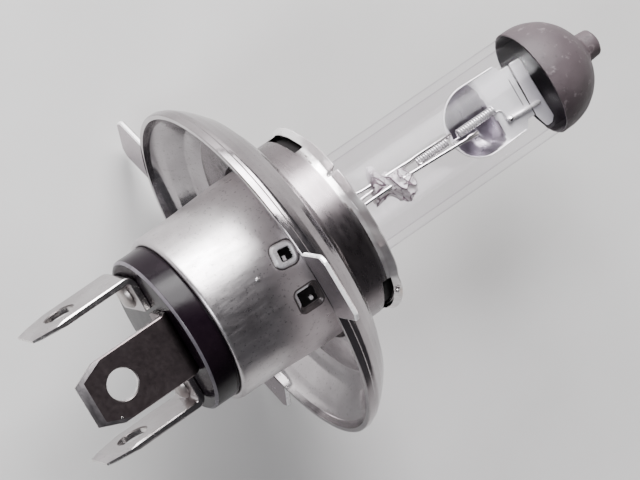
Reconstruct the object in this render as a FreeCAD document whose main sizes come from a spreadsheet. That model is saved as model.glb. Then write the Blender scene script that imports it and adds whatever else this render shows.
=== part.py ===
import FreeCAD, Part
import Sketcher
import math
import os

# Halogen headlight bulb with a three-lug prefocus cap and three flat terminals.
# +X runs along the bulb towards the glass tip, +Z is 12 o'clock in the lamp and
# +Y is the left-hand side seen from behind.  The origin is the centre of the
# reference plane, the plane of the three lug faces that seat in the reflector.

V = FreeCAD.Vector
doc = FreeCAD.newDocument("headlight_bulb")
table = doc.addObject("Spreadsheet::Sheet", "sizes")

SIZES = [
    ("sheet_thick", 0.6),        # sheet of flange, shell and collar
    ("rim_radius", 21.5),        # locating rim of the cap
    ("rim_land", 0.8),           # front end of the rim's straight land
    ("seat_relief", 0.1),        # start of the land, ahead of the lugs' seats
    ("rim_flare", 0.05),         # how much the rim widens behind the land
    ("dish_depth", 4.8),         # reference plane to front face of dish floor
    ("dish_step_radius", 17.3),  # where the dish floor steps forward
    ("lug_reach", 27.0),         # axis to outer edge of the 12 o'clock lug
    ("lug_half_width", 4.2),
    ("side_lug_reach", 26.3),
    ("side_lug_half_width", 3.3),
    ("side_lug_angle", 137.0),   # side lugs measured from 12 o'clock
    ("shell_radius", 10.75),     # base shell at its rear end
    ("shell_flare", 0.3),        # growth of the shell radius to its front end
    ("shell_rear", 10.05),       # rear end of shell behind the reference plane
    ("shell_front", 9.6),        # front end of shell
    ("slip_gap", 0.05),          # running clearance of slip fits
    ("collar_front", 11.5),      # front edge of the collar lip
    ("collar_wall", 0.5),
    ("collar_lip_width", 0.6),   # lip beyond the collar's outer face
    ("collar_foot_width", 2.3),
    ("opening_gap", 0.6),        # dish opening clear of the collar
    ("bump_x", 0.7),             # raised stamp: centre along the bulb
    ("bump_y", 2.65),            # raised stamp: centre beside the 12 o'clock line
    ("bump_half", 1.35),
    ("bump_rise", 0.2),          # top of the raised stamp beyond the shell radius
    ("dent_x", 0.9),             # sunk stamp: centre along the bulb
    ("dent_y", 3.1),             # its centre on the other side of that line
    ("dent_half", 1.2),
    ("dent_floor", 0.55),        # floor of the sunk stamp inside the shell radius
    ("disc_inset", 0.79),        # insulator disc inside the shell's outer face
    ("mouth_inset", 1.45),       # shell mouth inside the shell's outer face
    ("disc_rear", 13.3),
    ("disc_plug_length", 3.0),
    ("blade_width", 7.8),
    ("blade_thick", 0.8),
    ("blade_tip", 26.8),         # blade tips behind the reference plane
    ("blade_chamfer_length", 3.0),
    ("blade_chamfer_width", 1.25),
    ("blade_hole_radius", 1.85),
    ("blade_hole_inset", 4.8),   # hole centre from the blade tip
    ("top_blade_height", 7.26),  # outer face of top blade above the axis
    ("side_blade_offset", 8.64), # outer face of side blades from the axis
    ("foot_length", 4.6),
    ("foot_gap", 0.26),          # creepage gap between the top and side feet
    ("rivet_radius", 1.0),
    ("rivet_head_radius", 1.75),
    ("glass_radius", 6.45),
    ("glass_wall", 0.95),
    ("glass_straight_end", 40.5),
    ("glass_shoulder", 9.6),     # where the tube closes into the pinch
    ("tip_radius", 1.6),
    ("tip_length", 2.2),         # exhaust tip beyond the dome
    ("cap_thick", 0.25),         # glare cap coating
    ("cap_overlap", 0.9),        # coating behind the start of the dome
    ("pinch_half_width", 6.0),
    ("pinch_half_thick", 1.9),
    ("pinch_rear", 1.0),         # rear end of pinch behind the reference plane
    ("lead_radius", 0.35),
    ("lead_spacing", 3.2),
    ("foil_thick", 0.1),
    ("bead_centre", 19.0),
    ("bead_half_length", 2.7),
    ("bead_radius", 2.25),
    ("driving_coil_start", 22.9),
    ("driving_coil_length", 4.5),
    ("driving_coil_turns", 10),
    ("dipped_coil_start", 28.9),
    ("dipped_coil_length", 5.2),
    ("dipped_coil_turns", 12),
    ("coil_radius", 0.55),
    ("coil_wire_radius", 0.13),
    ("tail_length", 0.8),
    ("dipped_lead_height", 0.95),
    ("common_lead_depth", 1.3),
    ("shield_gap", 1.0),         # shield clear of the glass bore
    ("shield_thick", 0.3),
    ("shield_rear", 27.7),
    ("shield_body_length", 8.7),
    ("shield_tab_inset", 1.7),   # cross tab ahead of the spoon's end
    ("shield_tab_length", 2.0),
    ("post_offset", 1.95),       # shield post from the axis, on the right-hand side
    ("post_radius", 0.4),
]


class Size:
    """A number together with the spreadsheet expression that drives it."""

    def __init__(self, value, text):
        self.value = value
        self.text = text

    def __add__(self, other):
        other = size(other)
        return Size(self.value + other.value, "(%s + %s)" % (self.text, other.text))

    def __sub__(self, other):
        other = size(other)
        return Size(self.value - other.value, "(%s - %s)" % (self.text, other.text))

    def __mul__(self, other):
        other = size(other)
        return Size(self.value * other.value, "(%s * %s)" % (self.text, other.text))

    def __radd__(self, other):
        return size(other) + self

    def __rsub__(self, other):
        return size(other) - self

    def __rmul__(self, other):
        return size(other) * self

    def __neg__(self):
        return size(0) - self


def size(thing):
    if isinstance(thing, Size):
        return thing
    text = "%.6g" % thing if thing >= 0 else "(0 - %.6g)" % -thing
    return Size(float(thing), text)


def root(thing):
    return Size(math.sqrt(thing.value), "sqrt(%s)" % thing.text)


class Sizes:
    """Spreadsheet values by name."""


g = Sizes()
for row, (alias, number) in enumerate(SIZES, start=1):
    table.set("A%d" % row, alias)
    table.set("B%d" % row, "%g" % number)
    table.setAlias("B%d" % row, alias)
    setattr(g, alias, Size(number, "sizes." + alias))
doc.recompute()

finished = []


def new_body(name):
    body = doc.addObject("PartDesign::Body", name)
    body.Label = name
    finished.append(body)
    return body


def new_sketch(body, role, name, lift=0, turn=0):
    """Sketch on an origin plane, lifted along its normal and turned in its plane."""
    plane = [f for f in body.Origin.OriginFeatures if f.Role == role][0]
    sketch = body.newObject("Sketcher::SketchObject", body.Name + "_" + name)
    sketch.AttachmentSupport = [(plane, "")]
    sketch.MapMode = "FlatFace"
    lift = size(lift)
    turn = size(turn)
    rotation = FreeCAD.Rotation(V(0, 0, 1), turn.value)
    sketch.AttachmentOffset = FreeCAD.Placement(V(0, 0, lift.value), rotation)
    sketch.setExpression("AttachmentOffset.Base.z", lift.text)
    return sketch


def fix(sketch, kind, target, amount, name):
    """Dimension a sketch and tie it to the spreadsheet."""
    index = sketch.addConstraint(Sketcher.Constraint(kind, *target, amount.value))
    sketch.renameConstraint(index, name)
    sketch.setExpression("Constraints." + name, amount.text)


def pin_point(sketch, geo, pos, x, y, name):
    for kind, axis, amount in (("DistanceX", -2, size(x)), ("DistanceY", -1, size(y))):
        if abs(amount.value) < 1e-9:
            sketch.addConstraint(Sketcher.Constraint("PointOnObject", geo, pos, axis))
        else:
            fix(sketch, kind, (-1, 1, geo, pos), amount, name + kind[-1].lower())


def draw_outline(sketch, corners, arcs=None):
    """Closed outline through corners; arcs gives the radius of curved sides,
    positive when the side bulges to the right of its direction of travel."""
    arcs = arcs or {}
    count = len(corners)
    ends = []
    for i in range(count):
        p = V(size(corners[i][0]).value, size(corners[i][1]).value, 0)
        after = corners[(i + 1) % count]
        q = V(size(after[0]).value, size(after[1]).value, 0)
        if i not in arcs:
            geo = sketch.addGeometry(Part.LineSegment(p, q), False)
            ends.append((geo, 1, 2))
            continue
        radius = abs(size(arcs[i]).value)
        bulge_right = size(arcs[i]).value > 0
        chord = q - p
        normal = V(-chord.y, chord.x, 0).normalize()
        height = math.sqrt(max(radius ** 2 - chord.Length ** 2 / 4.0, 0.0))
        centre = (p + q) * 0.5 + normal * (height if bulge_right else -height)
        angle_p = math.atan2(p.y - centre.y, p.x - centre.x)
        angle_q = math.atan2(q.y - centre.y, q.x - centre.x)
        circle = Part.Circle(centre, V(0, 0, 1), radius)
        if bulge_right:
            geo = sketch.addGeometry(Part.ArcOfCircle(circle, angle_p, angle_q), False)
            ends.append((geo, 1, 2))
        else:
            geo = sketch.addGeometry(Part.ArcOfCircle(circle, angle_q, angle_p), False)
            ends.append((geo, 2, 1))
    for i in range(count):
        geo, first, last = ends[i]
        following = ends[(i + 1) % count]
        sketch.addConstraint(
            Sketcher.Constraint("Coincident", geo, last, following[0], following[1]))
        pin_point(sketch, geo, first, corners[i][0], corners[i][1], "c%d" % i)
        if i in arcs:
            radius = size(arcs[i])
            radius = radius if radius.value > 0 else -radius
            fix(sketch, "Radius", (geo,), radius, "r%d" % i)


def draw_circle(sketch, x, y, radius, name="hole"):
    x = size(x)
    y = size(y)
    radius = size(radius)
    circle = Part.Circle(V(x.value, y.value, 0), V(0, 0, 1), radius.value)
    geo = sketch.addGeometry(circle, False)
    pin_point(sketch, geo, 3, x, y, name)
    fix(sketch, "Radius", (geo,), radius, name + "r")


def draw_square(sketch, x, y, half):
    draw_outline(sketch, [
        (x - half, y - half),
        (x + half, y - half),
        (x + half, y + half),
        (x - half, y + half),
    ])


def revolve(body, sketch, angle=360.0, name="turned"):
    feature = body.newObject("PartDesign::Revolution", body.Name + "_" + name)
    feature.Profile = sketch
    feature.ReferenceAxis = (sketch, ["H_Axis"])
    feature.Angle = angle
    sketch.Visibility = False
    return feature


def pad(body, sketch, length, name, backwards=False):
    feature = body.newObject("PartDesign::Pad", body.Name + "_" + name)
    feature.Profile = sketch
    feature.Length = size(length).value
    feature.setExpression("Length", size(length).text)
    feature.Reversed = backwards
    return feature


def pocket(body, sketch, name, length=None, both=False, backwards=False):
    feature = body.newObject("PartDesign::Pocket", body.Name + "_" + name)
    feature.Profile = sketch
    if length is None:
        feature.Type = "ThroughAll"
    else:
        feature.Length = size(length).value
        feature.setExpression("Length", size(length).text)
    feature.Midplane = both
    feature.Reversed = backwards
    return feature


def rod(body, role, lift, x, y, radius, length, name):
    """Straight round rod along the normal of an origin plane."""
    sketch = new_sketch(body, role, name + "_section", lift)
    draw_circle(sketch, x, y, radius)
    return pad(body, sketch, length, name)


def edges_where(feature, test):
    """Names of the feature's straight edges whose two ends pass the test."""
    names = []
    for number, edge in enumerate(feature.Shape.Edges, start=1):
        if len(edge.Vertexes) != 2:
            continue
        first, last = edge.Vertexes[0].Point, edge.Vertexes[1].Point
        if test(first, last):
            names.append("Edge%d" % number)
    return names


def dress(body, kind, base, names, amount, name):
    """Fillet or chamfer on chosen edges of a feature."""
    feature = body.newObject("PartDesign::" + kind, body.Name + "_" + name)
    feature.Base = (base, names)
    prop = "Radius" if kind == "Fillet" else "Size"
    setattr(feature, prop, size(amount).value)
    feature.setExpression(prop, size(amount).text)
    return feature


def place(thing, x=0, y=0, z=0, turn=0.0):
    """Move a sub-part and turn it about the bulb axis direction."""
    x, y, z = size(x), size(y), size(z)
    rotation = FreeCAD.Rotation(V(1, 0, 0), turn)
    thing.Placement = FreeCAD.Placement(V(x.value, y.value, z.value), rotation)
    thing.setExpression("Placement.Base.x", x.text)
    thing.setExpression("Placement.Base.y", y.text)
    thing.setExpression("Placement.Base.z", z.text)


# Shared derived sizes

shell_front_radius = g.shell_radius + g.shell_flare
collar_bore = shell_front_radius + g.slip_gap
collar_radius = collar_bore + g.collar_wall
dish_opening = collar_radius + g.opening_gap
disc_radius = g.shell_radius - g.disc_inset
mouth_radius = g.shell_radius - g.mouth_inset
blade_half = 0.5 * g.blade_width
side_blade_height = g.top_blade_height - g.foot_length - g.foot_gap - blade_half
foot_rear = -g.disc_rear - g.blade_thick
cap_radius = g.glass_radius + g.cap_thick
glass_bore = g.glass_radius - g.glass_wall
plate_front = g.shell_front - 0.6
rivet_inset = 0.55 * g.foot_length
plug_front = -g.shell_rear + g.disc_plug_length
tip_end = g.glass_straight_end + g.glass_radius + g.tip_length
cap_edge = g.glass_straight_end - g.cap_overlap
shield_radius = glass_bore - g.shield_gap
shield_body_end = g.shield_rear + g.shield_body_length
tab_start = shield_body_end + g.shield_tab_inset
tab_end = tab_start + g.shield_tab_length
driving_coil_end = g.driving_coil_start + g.driving_coil_length
dipped_coil_end = g.dipped_coil_start + g.dipped_coil_length
foil_front = g.glass_shoulder - 3.0
common_flat_end = g.shield_rear + g.shield_thick
post_y = -g.post_offset


def make_flange_ring():
    """Stamped dish with its locating rim and three seating lugs."""
    body = new_body("flange_ring")
    skin = g.sheet_thick
    step = g.dish_step_radius
    front = g.dish_depth
    corners = [
        (-skin, g.rim_radius + g.rim_flare),
        (g.seat_relief, g.rim_radius),
        (g.rim_land, g.rim_radius),
        (front - 0.5, step),
        (front, step - 0.8),
        (front, dish_opening),
        (front - skin, dish_opening),
        (front - skin, step - 1.1),
        (front - skin - 0.5, step - 0.35),
        (g.rim_land, g.rim_radius - skin),
        (-skin, g.rim_radius - skin),
    ]
    sketch = new_sketch(body, "XY_Plane", "section")
    draw_outline(sketch, corners, {2: -8.0, 8: 7.4})
    revolve(body, sketch)
    lugs = [
        ("top", 0, g.lug_half_width, g.lug_reach),
        ("left", g.side_lug_angle, g.side_lug_half_width, g.side_lug_reach),
        ("right", -g.side_lug_angle, g.side_lug_half_width, g.side_lug_reach),
    ]
    for name, angle, half, reach in lugs:
        turn = size(angle)
        sketch = new_sketch(body, "YZ_Plane", name + "_lug_outline", -skin, turn)
        sketch.setExpression("AttachmentOffset.Rotation.Angle", turn.text)
        inner = g.rim_radius - 0.9
        shoulder = reach - 1.0
        outline = [
            (-half, inner),
            (half, inner),
            (half, shoulder),
            (half - 0.9, reach - 0.15),
            (0.9 - half, reach - 0.15),
            (-half, shoulder),
        ]
        draw_outline(sketch, outline, {2: 1.0, 3: reach, 4: 1.0})
        pad(body, sketch, skin, name + "_lug")
    return body


def make_base_shell():
    """Drawn metal shell with an in-turned rear lip and two locating stamps."""
    body = new_body("base_shell")
    skin = g.sheet_thick
    rear = -g.shell_rear
    corners = [
        (rear, g.shell_radius - 0.8),
        (rear + 0.8, g.shell_radius),
        (g.shell_front, shell_front_radius),
        (g.shell_front, shell_front_radius - skin),
        (rear + 0.8, g.shell_radius - skin),
        (rear + skin, g.shell_radius - 0.8),
        (rear + skin, mouth_radius),
        (rear, mouth_radius),
    ]
    sketch = new_sketch(body, "XY_Plane", "section")
    draw_outline(sketch, corners, {0: -0.8})
    revolve(body, sketch)
    bump = new_sketch(body, "XY_Plane", "bump_outline", g.shell_radius + g.bump_rise - 0.5)
    draw_square(bump, g.bump_x, g.bump_y, g.bump_half)
    pad(body, bump, 0.5, "bump")
    dent = new_sketch(body, "XY_Plane", "dent_outline", g.shell_radius - g.dent_floor)
    draw_square(dent, g.dent_x, -g.dent_y, g.dent_half)
    pocket(body, dent, "dent", 2.0, backwards=True)
    return body


def make_front_collar():
    """Focusing collar: foot on the dish, bore over the shell, out-turned lip."""
    body = new_body("front_collar")
    skin = g.collar_wall
    outer = collar_radius
    lip = outer + g.collar_lip_width
    foot = outer + g.collar_foot_width
    bore = collar_bore
    rear = g.dish_depth
    front = g.collar_front
    corners = [
        (rear, bore),
        (rear, foot),
        (rear + skin, foot),
        (rear + skin, outer + 0.8),
        (rear + skin + 0.8, outer),
        (front - 1.1, outer),
        (front - skin, outer + 0.45),
        (front - skin, lip),
        (front, lip),
        (front, outer + 0.1),
        (front - 0.6, bore),
    ]
    sketch = new_sketch(body, "XY_Plane", "section")
    draw_outline(sketch, corners, {3: 0.8})
    revolve(body, sketch)
    for name, angle in (("left", 72.0), ("right", -72.0)):
        window = new_sketch(body, "XY_Plane", name + "_window_outline")
        lean = FreeCAD.Rotation(V(1, 0, 0), -angle)
        window.AttachmentOffset = FreeCAD.Placement(V(0, 0, 0), lean)
        half = 0.42 * outer
        draw_outline(window, [
            (front - 3.0, -half),
            (front - 1.15, -half),
            (front - 1.15, half),
            (front - 3.0, half),
        ])
        pocket(body, window, name + "_window", outer + 1.0, backwards=True)
    notch = new_sketch(body, "YZ_Plane", "notch_outline", front - 0.55)
    draw_outline(notch, [
        (outer * 0.60, outer * 0.86),
        (outer * 0.70, outer * 0.90),
        (outer * 0.60, outer * 0.98),
    ])
    pocket(body, notch, "notch", 2.0, backwards=True)
    return body


def make_insulator_disc():
    """Black moulded disc that carries the terminals, with its plug in the shell."""
    body = new_body("insulator_disc")
    plug = mouth_radius - g.slip_gap
    corners = [
        (-g.disc_rear, 0),
        (-g.disc_rear, disc_radius - 0.4),
        (0.4 - g.disc_rear, disc_radius),
        (-g.shell_rear, disc_radius),
        (-g.shell_rear, plug),
        (plug_front, plug),
        (plug_front, 0),
    ]
    sketch = new_sketch(body, "XY_Plane", "section")
    draw_outline(sketch, corners)
    revolve(body, sketch)
    holes = new_sketch(body, "YZ_Plane", "rivet_holes", -g.disc_rear)
    bore = g.rivet_radius + g.slip_gap
    draw_circle(holes, 0, g.top_blade_height - rivet_inset, bore, "top")
    draw_circle(holes, g.side_blade_offset - rivet_inset, side_blade_height, bore, "left")
    draw_circle(holes, rivet_inset - g.side_blade_offset, side_blade_height, bore, "right")
    length = g.disc_rear - g.shell_rear + g.disc_plug_length + 1.0
    pocket(body, holes, "rivet_bores", length, backwards=True)
    return body


def make_terminal(name, y, z, turn):
    """Flat blade with a chamfered, drilled tip and a foot bent in on the disc."""
    body = new_body(name)
    tip = -g.blade_tip
    blade = new_sketch(body, "XY_Plane", "blade_outline")
    draw_outline(blade, [
        (foot_rear, -blade_half),
        (foot_rear, blade_half),
        (tip + g.blade_chamfer_length, blade_half),
        (tip, blade_half - g.blade_chamfer_width),
        (tip, g.blade_chamfer_width - blade_half),
        (tip + g.blade_chamfer_length, -blade_half),
    ])
    pad(body, blade, g.blade_thick, "blade", backwards=True)
    foot = new_sketch(body, "YZ_Plane", "foot_outline", foot_rear)
    draw_outline(foot, [
        (-blade_half, -g.foot_length),
        (blade_half, -g.foot_length),
        (blade_half, 0),
        (-blade_half, 0),
    ])
    pad(body, foot, g.blade_thick, "foot")
    hole = new_sketch(body, "XY_Plane", "detent_hole")
    draw_circle(hole, tip + g.blade_hole_inset, 0, g.blade_hole_radius)
    pocket(body, hole, "detent", g.blade_thick)
    rivet_hole = new_sketch(body, "YZ_Plane", "rivet_hole", foot_rear)
    draw_circle(rivet_hole, 0, -rivet_inset, g.rivet_radius + g.slip_gap)
    bored = pocket(body, rivet_hole, "rivet_bore", g.blade_thick, backwards=True)
    doc.recompute()
    limit = tip.value + g.blade_chamfer_length.value + 0.01
    around_tip = edges_where(bored, lambda a, b: a.x < limit and b.x < limit
                             and abs(a.z - b.z) < 1e-6 and a.sub(b).Length > 0.9)
    coined = dress(body, "Chamfer", bored, around_tip, 0.3 * g.blade_thick, "coined_tip")
    doc.recompute()
    heel = (-g.disc_rear).value
    bend = edges_where(coined, lambda a, b: abs(a.x - heel) < 1e-6 and abs(b.x - heel) < 1e-6
                       and abs(a.z) < 1e-6 and abs(b.z) < 1e-6)
    dress(body, "Fillet", coined, bend, 0.75 * g.blade_thick, "bend")
    place(body, 0, y, z, turn)
    return body


def make_rivet(name, y, z):
    """Rivet that clamps a terminal foot to the disc."""
    body = new_body(name)
    shank = g.rivet_radius
    head = g.rivet_head_radius
    rear = foot_rear
    front = plug_front
    corners = [
        (rear - 0.75, 0),
        (rear - 0.75, 0.55 * head),
        (rear - 0.1, head),
        (rear, head),
        (rear, shank),
        (front, shank),
        (front, 1.45 * shank),
        (front + 0.5, 1.3 * shank),
        (front + 0.8, 0.7 * shank),
        (front + 0.8, 0),
    ]
    sketch = new_sketch(body, "XY_Plane", "section")
    draw_outline(sketch, corners, {1: -1.2})
    revolve(body, sketch)
    place(body, 0, y, z)
    return body


def bent_wire(body, xs, ys):
    """Round wire swept through points in the body's XY plane, starting along X."""
    path = new_sketch(body, "XY_Plane", "path")
    last = len(xs) - 1
    for i in range(last):
        a = V(size(xs[i]).value, size(ys[i]).value, 0)
        b = V(size(xs[i + 1]).value, size(ys[i + 1]).value, 0)
        path.addGeometry(Part.LineSegment(a, b), False)
        pin_point(path, i, 1, xs[i], ys[i], "p%d" % i)
    pin_point(path, last - 1, 2, xs[last], ys[last], "p%d" % last)
    for i in range(last - 1):
        path.addConstraint(Sketcher.Constraint("Coincident", i, 2, i + 1, 1))
    wire = new_sketch(body, "YZ_Plane", "wire", xs[0])
    draw_circle(wire, 0, 0, g.lead_radius)
    pipe = body.newObject("PartDesign::AdditivePipe", body.Name + "_swept")
    pipe.Profile = wire
    pipe.Spine = (path, ["Edge%d" % (i + 1) for i in range(last)])
    pipe.Transition = "Right corner"
    return pipe


def make_outer_lead(name, y, run, turn):
    """Lead from the pinch to a rivet tail, bent once inside the shell."""
    body = new_body(name)
    start = 1.5 - g.pinch_rear
    end = plug_front + 1.0
    bent_wire(body, [start, -g.pinch_rear - 0.6, end + 1.2, end], [0, 0, run, run])
    place(body, 0, y, 0, turn)
    return body


def make_solder(name, y, z):
    """Bead of solder between a lead end and its rivet tail."""
    ball = doc.addObject("Part::Ellipsoid", name)
    ball.Label = name
    for prop, amount in (("Radius1", 1.0), ("Radius2", 1.1), ("Radius3", 1.1)):
        share = amount * g.rivet_radius
        setattr(ball, prop, share.value)
        ball.setExpression(prop, share.text)
    place(ball, plug_front + 1.3, y, z)
    finished.append(ball)
    return ball


def make_holder_plate():
    """Plate inside the front of the shell that centres the glass pinch."""
    body = new_body("holder_plate")
    outer = shell_front_radius - g.sheet_thick - g.shell_flare * 0.1
    corners = [
        (plate_front - 0.6, 0),
        (plate_front - 0.6, outer),
        (plate_front, outer),
        (plate_front, 0),
    ]
    sketch = new_sketch(body, "XY_Plane", "section")
    draw_outline(sketch, corners)
    revolve(body, sketch)
    window = new_sketch(body, "YZ_Plane", "pinch_window", plate_front - 1.0)
    wide = g.pinch_half_width + g.slip_gap
    tall = g.pinch_half_thick + 0.4 + g.slip_gap
    draw_outline(window, [(-wide, -tall), (wide, -tall), (wide, tall), (-wide, tall)])
    pocket(body, window, "window", 2.0, backwards=True)
    return body


def make_pinch_clamp():
    """Rectangular sleeve round the pinch, welded to the holder plate."""
    body = new_body("pinch_clamp")
    wide = g.pinch_half_width + g.slip_gap
    tall = g.pinch_half_thick + 0.4 + g.slip_gap
    wall = 0.5
    start = size(1.2)
    length = plate_front - 0.6 - start
    sketch = new_sketch(body, "YZ_Plane", "outline", start)
    draw_outline(sketch, [
        (-wide - wall, -tall - wall),
        (wide + wall, -tall - wall),
        (wide + wall, tall + wall),
        (-wide - wall, tall + wall),
    ])
    pad(body, sketch, length, "sleeve")
    hollow = new_sketch(body, "YZ_Plane", "hollow", start)
    draw_outline(hollow, [(-wide, -tall), (wide, -tall), (wide, tall), (-wide, tall)])
    pocket(body, hollow, "opening", length, backwards=True)
    return body


def make_glass_envelope():
    """Quartz tube with a domed front, exhaust tip and flat pinched rear."""
    body = new_body("glass_envelope")
    outer = g.glass_radius
    bore = glass_bore
    rear = g.glass_shoulder
    end = g.glass_straight_end
    tip = g.tip_radius - g.cap_thick * 0.4
    junction = end + root(outer * outer - tip * tip)
    nose = tip_end
    corners = [
        (rear, 0),
        (rear, outer - 3.0),
        (rear + 3.0, outer),
        (end, outer),
        (junction, tip),
        (nose - 0.9, 0.8 * tip),
        (nose - 0.3, 0),
        (end + bore, 0),
        (end, bore),
        (rear + 5.0, bore),
        (rear + 2.6, bore - 2.4),
        (rear + 2.2, 0),
    ]
    sketch = new_sketch(body, "XY_Plane", "section")
    draw_outline(sketch, corners, {1: -3.0, 3: -outer, 7: bore, 9: 2.6})
    revolve(body, sketch)
    start = -g.pinch_rear
    length = rear + g.pinch_rear + 1.4
    pinch = new_sketch(body, "YZ_Plane", "pinch_outline", start)
    wide = g.pinch_half_width
    tall = g.pinch_half_thick
    rib = tall + 0.4
    inner = wide - 1.3
    draw_outline(pinch, [
        (-wide, -rib), (-inner, -rib), (0.5 - inner, -tall), (inner - 0.5, -tall),
        (inner, -rib), (wide, -rib), (wide, rib), (inner, rib),
        (inner - 0.5, tall), (0.5 - inner, tall), (-inner, rib), (-wide, rib),
    ])
    pad(body, pinch, length, "pinch")
    return body


def make_glare_cap():
    """Matte coating over the dome and exhaust tip."""
    body = new_body("glare_cap")
    inner = g.glass_radius
    outer = cap_radius
    end = g.glass_straight_end
    tip_in = g.tip_radius - g.cap_thick * 0.4
    tip_out = g.tip_radius + g.cap_thick * 0.6
    inside = end + root(inner * inner - tip_in * tip_in)
    outside = end + root(outer * outer - tip_out * tip_out)
    nose = tip_end
    corners = [
        (cap_edge, inner),
        (cap_edge, outer - 0.05),
        (cap_edge + 0.3, outer),
        (end, outer),
        (outside, tip_out),
        (nose - 0.7, 0.82 * tip_out),
        (nose, 0.35 * tip_out),
        (nose, 0),
        (nose - 0.3, 0),
        (nose - 0.9, 0.8 * tip_in),
        (inside, tip_in),
        (end, inner),
    ]
    sketch = new_sketch(body, "XY_Plane", "section")
    draw_outline(sketch, corners, {3: -outer, 10: inner})
    revolve(body, sketch)
    return body


def make_glass_bead():
    """Fused quartz bridge that ties the three inner leads together."""
    ball = doc.addObject("Part::Ellipsoid", "bead_lump")
    for prop, amount in (
        ("Radius1", g.bead_radius * 0.72),
        ("Radius2", g.bead_half_length),
        ("Radius3", g.bead_radius),
    ):
        setattr(ball, prop, amount.value)
        ball.setExpression(prop, amount.text)
    wedge = doc.addObject("Part::Box", "bead_wedge")
    for prop, amount in (
        ("Length", g.bead_half_length),
        ("Width", 1.7 * g.bead_radius),
        ("Height", 1.2 * g.bead_radius),
    ):
        setattr(wedge, prop, amount.value)
        wedge.setExpression(prop, amount.text)
    place(wedge, -g.bead_half_length, -0.85 * g.bead_radius, -0.6 * g.bead_radius)
    bead = doc.addObject("Part::MultiFuse", "glass_bead")
    bead.Shapes = [ball, wedge]
    bead.Label = "glass_bead"
    place(bead, g.bead_centre, 0, 0)
    finished.append(bead)
    return bead


def make_beam_shield():
    """Spoon-shaped shield under the dipped filament, with its front cross tab."""
    body = new_body("beam_shield")
    outer = shield_radius
    skin = g.shield_thick
    inner = outer - skin
    rear = g.shield_rear
    ball = rear + outer
    fold = shield_body_end
    corners = [
        (rear, 0),
        (ball, -outer),
        (fold - 2.4, -outer),
        (fold - 0.2, -1.2),
        (fold - 0.2, 0),
        (fold - 0.2 - skin, 0),
        (fold - 0.2 - skin, -1.2),
        (fold - 2.4 - skin, -inner),
        (ball, -inner),
        (rear + skin, 0),
    ]
    sketch = new_sketch(body, "XY_Plane", "section")
    draw_outline(sketch, corners, {0: outer, 8: -inner})
    revolve(body, sketch, 165.0, "spoon")
    plate = new_sketch(body, "XY_Plane", "tab_outline", -skin)
    neck = 0.76 * outer
    across = 0.98 * outer
    rim = outer - 0.1
    draw_outline(plate, [
        (fold - 2.2, -rim),
        (fold + 0.2, -rim),
        (fold + 1.0, -neck),
        (tab_start, -neck),
        (tab_start, -across),
        (tab_end - 0.6, -across),
        (tab_end, 0.6 - across),
        (tab_end, across),
        (tab_start, across),
        (tab_start, neck),
        (fold + 1.0, neck),
        (fold + 0.2, rim),
        (fold - 2.2, rim),
    ])
    pad(body, plate, skin, "cross_tab")
    return body


def make_shield_post():
    """Short rod welded on the cross tab that carries the dipped filament."""
    body = new_body("shield_post")
    start = dipped_coil_end + g.tail_length
    length = tab_end - 1.0 - start
    rod(body, "YZ_Plane", start, post_y, g.post_radius, g.post_radius, length, "length")
    return body


def make_filament(name, start, length, turns, side, front_tail):
    """Tungsten coil round the bulb axis with a straight tail at each end."""
    body = new_body(name)
    section = new_sketch(body, "XY_Plane", "wire")
    draw_circle(section, start, side * g.coil_radius, g.coil_wire_radius)
    coil = body.newObject("PartDesign::AdditiveHelix", body.Name + "_coil")
    coil.Profile = section
    coil.ReferenceAxis = (section, ["H_Axis"])
    coil.Mode = "height-turns-angle"
    coil.Height = length.value
    coil.setExpression("Height", length.text)
    coil.Turns = turns.value
    coil.setExpression("Turns", turns.text)
    coil.Angle = 0
    wire = g.coil_wire_radius
    tail = g.tail_length
    line = side * g.coil_radius
    rod(body, "YZ_Plane", start - tail, line, 0, wire, tail + wire, "rear_tail")
    rod(body, "YZ_Plane", start + length - wire, line, 0, wire, front_tail + wire, "front_tail")
    return body


def make_dipped_filament():
    """Dipped coil, with an upright at its rear and an arm out to the shield post."""
    side = -1.0
    body = make_filament("dipped_filament", g.dipped_coil_start, g.dipped_coil_length,
                         g.dipped_coil_turns, side, g.tail_length)
    stem = 1.2 * g.coil_wire_radius
    line = side * g.coil_radius
    rear = g.dipped_coil_start - g.tail_length
    rod(body, "XY_Plane", -1.2 * stem, rear, line, stem,
        g.dipped_lead_height + 1.2 * stem, "upright")
    front = dipped_coil_end + g.tail_length
    rod(body, "XZ_Plane", -line - 1.2 * stem, front, 0, stem,
        line + 1.2 * stem - post_y, "arm")
    return body


def make_lead(name, foil_y, y, z, end, flat_start=None, flat_end=None, upstand=None):
    """Inner lead from its foil through the bead, flattened where it is welded."""
    body = new_body(name)
    across = y - foil_y
    run = root(across * across + z * z)
    angle = math.degrees(math.atan2(z.value, across.value))
    cavity = g.glass_shoulder + 2.6
    xs = [foil_front - 0.5, cavity, g.bead_centre - g.bead_half_length - 0.6, end]
    bent_wire(body, xs, [0, 0, run, run])
    if flat_start is not None:
        wide = 1.5 * g.lead_radius
        tall = 0.8 * g.lead_radius
        top = z + tall if upstand is None else size(upstand)
        flat = new_sketch(body, "YZ_Plane", "flat", flat_start, -angle)
        draw_outline(flat, [
            (across - wide, z - tall),
            (across + wide, z - tall),
            (across + wide, z + tall),
            (across - wide, z + tall),
        ])
        pad(body, flat, flat_end - flat_start, "flat_length")
        if upstand is not None:
            ear = new_sketch(body, "YZ_Plane", "upstand", flat_end - 0.4, -angle)
            draw_outline(ear, [
                (across - 0.6 * wide, z),
                (across + 0.6 * wide, z),
                (across + 0.6 * wide, top),
                (across - 0.6 * wide, top),
            ])
            pad(body, ear, 0.4, "upstand_thick")
    place(body, 0, foil_y, 0, angle)
    return body


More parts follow.
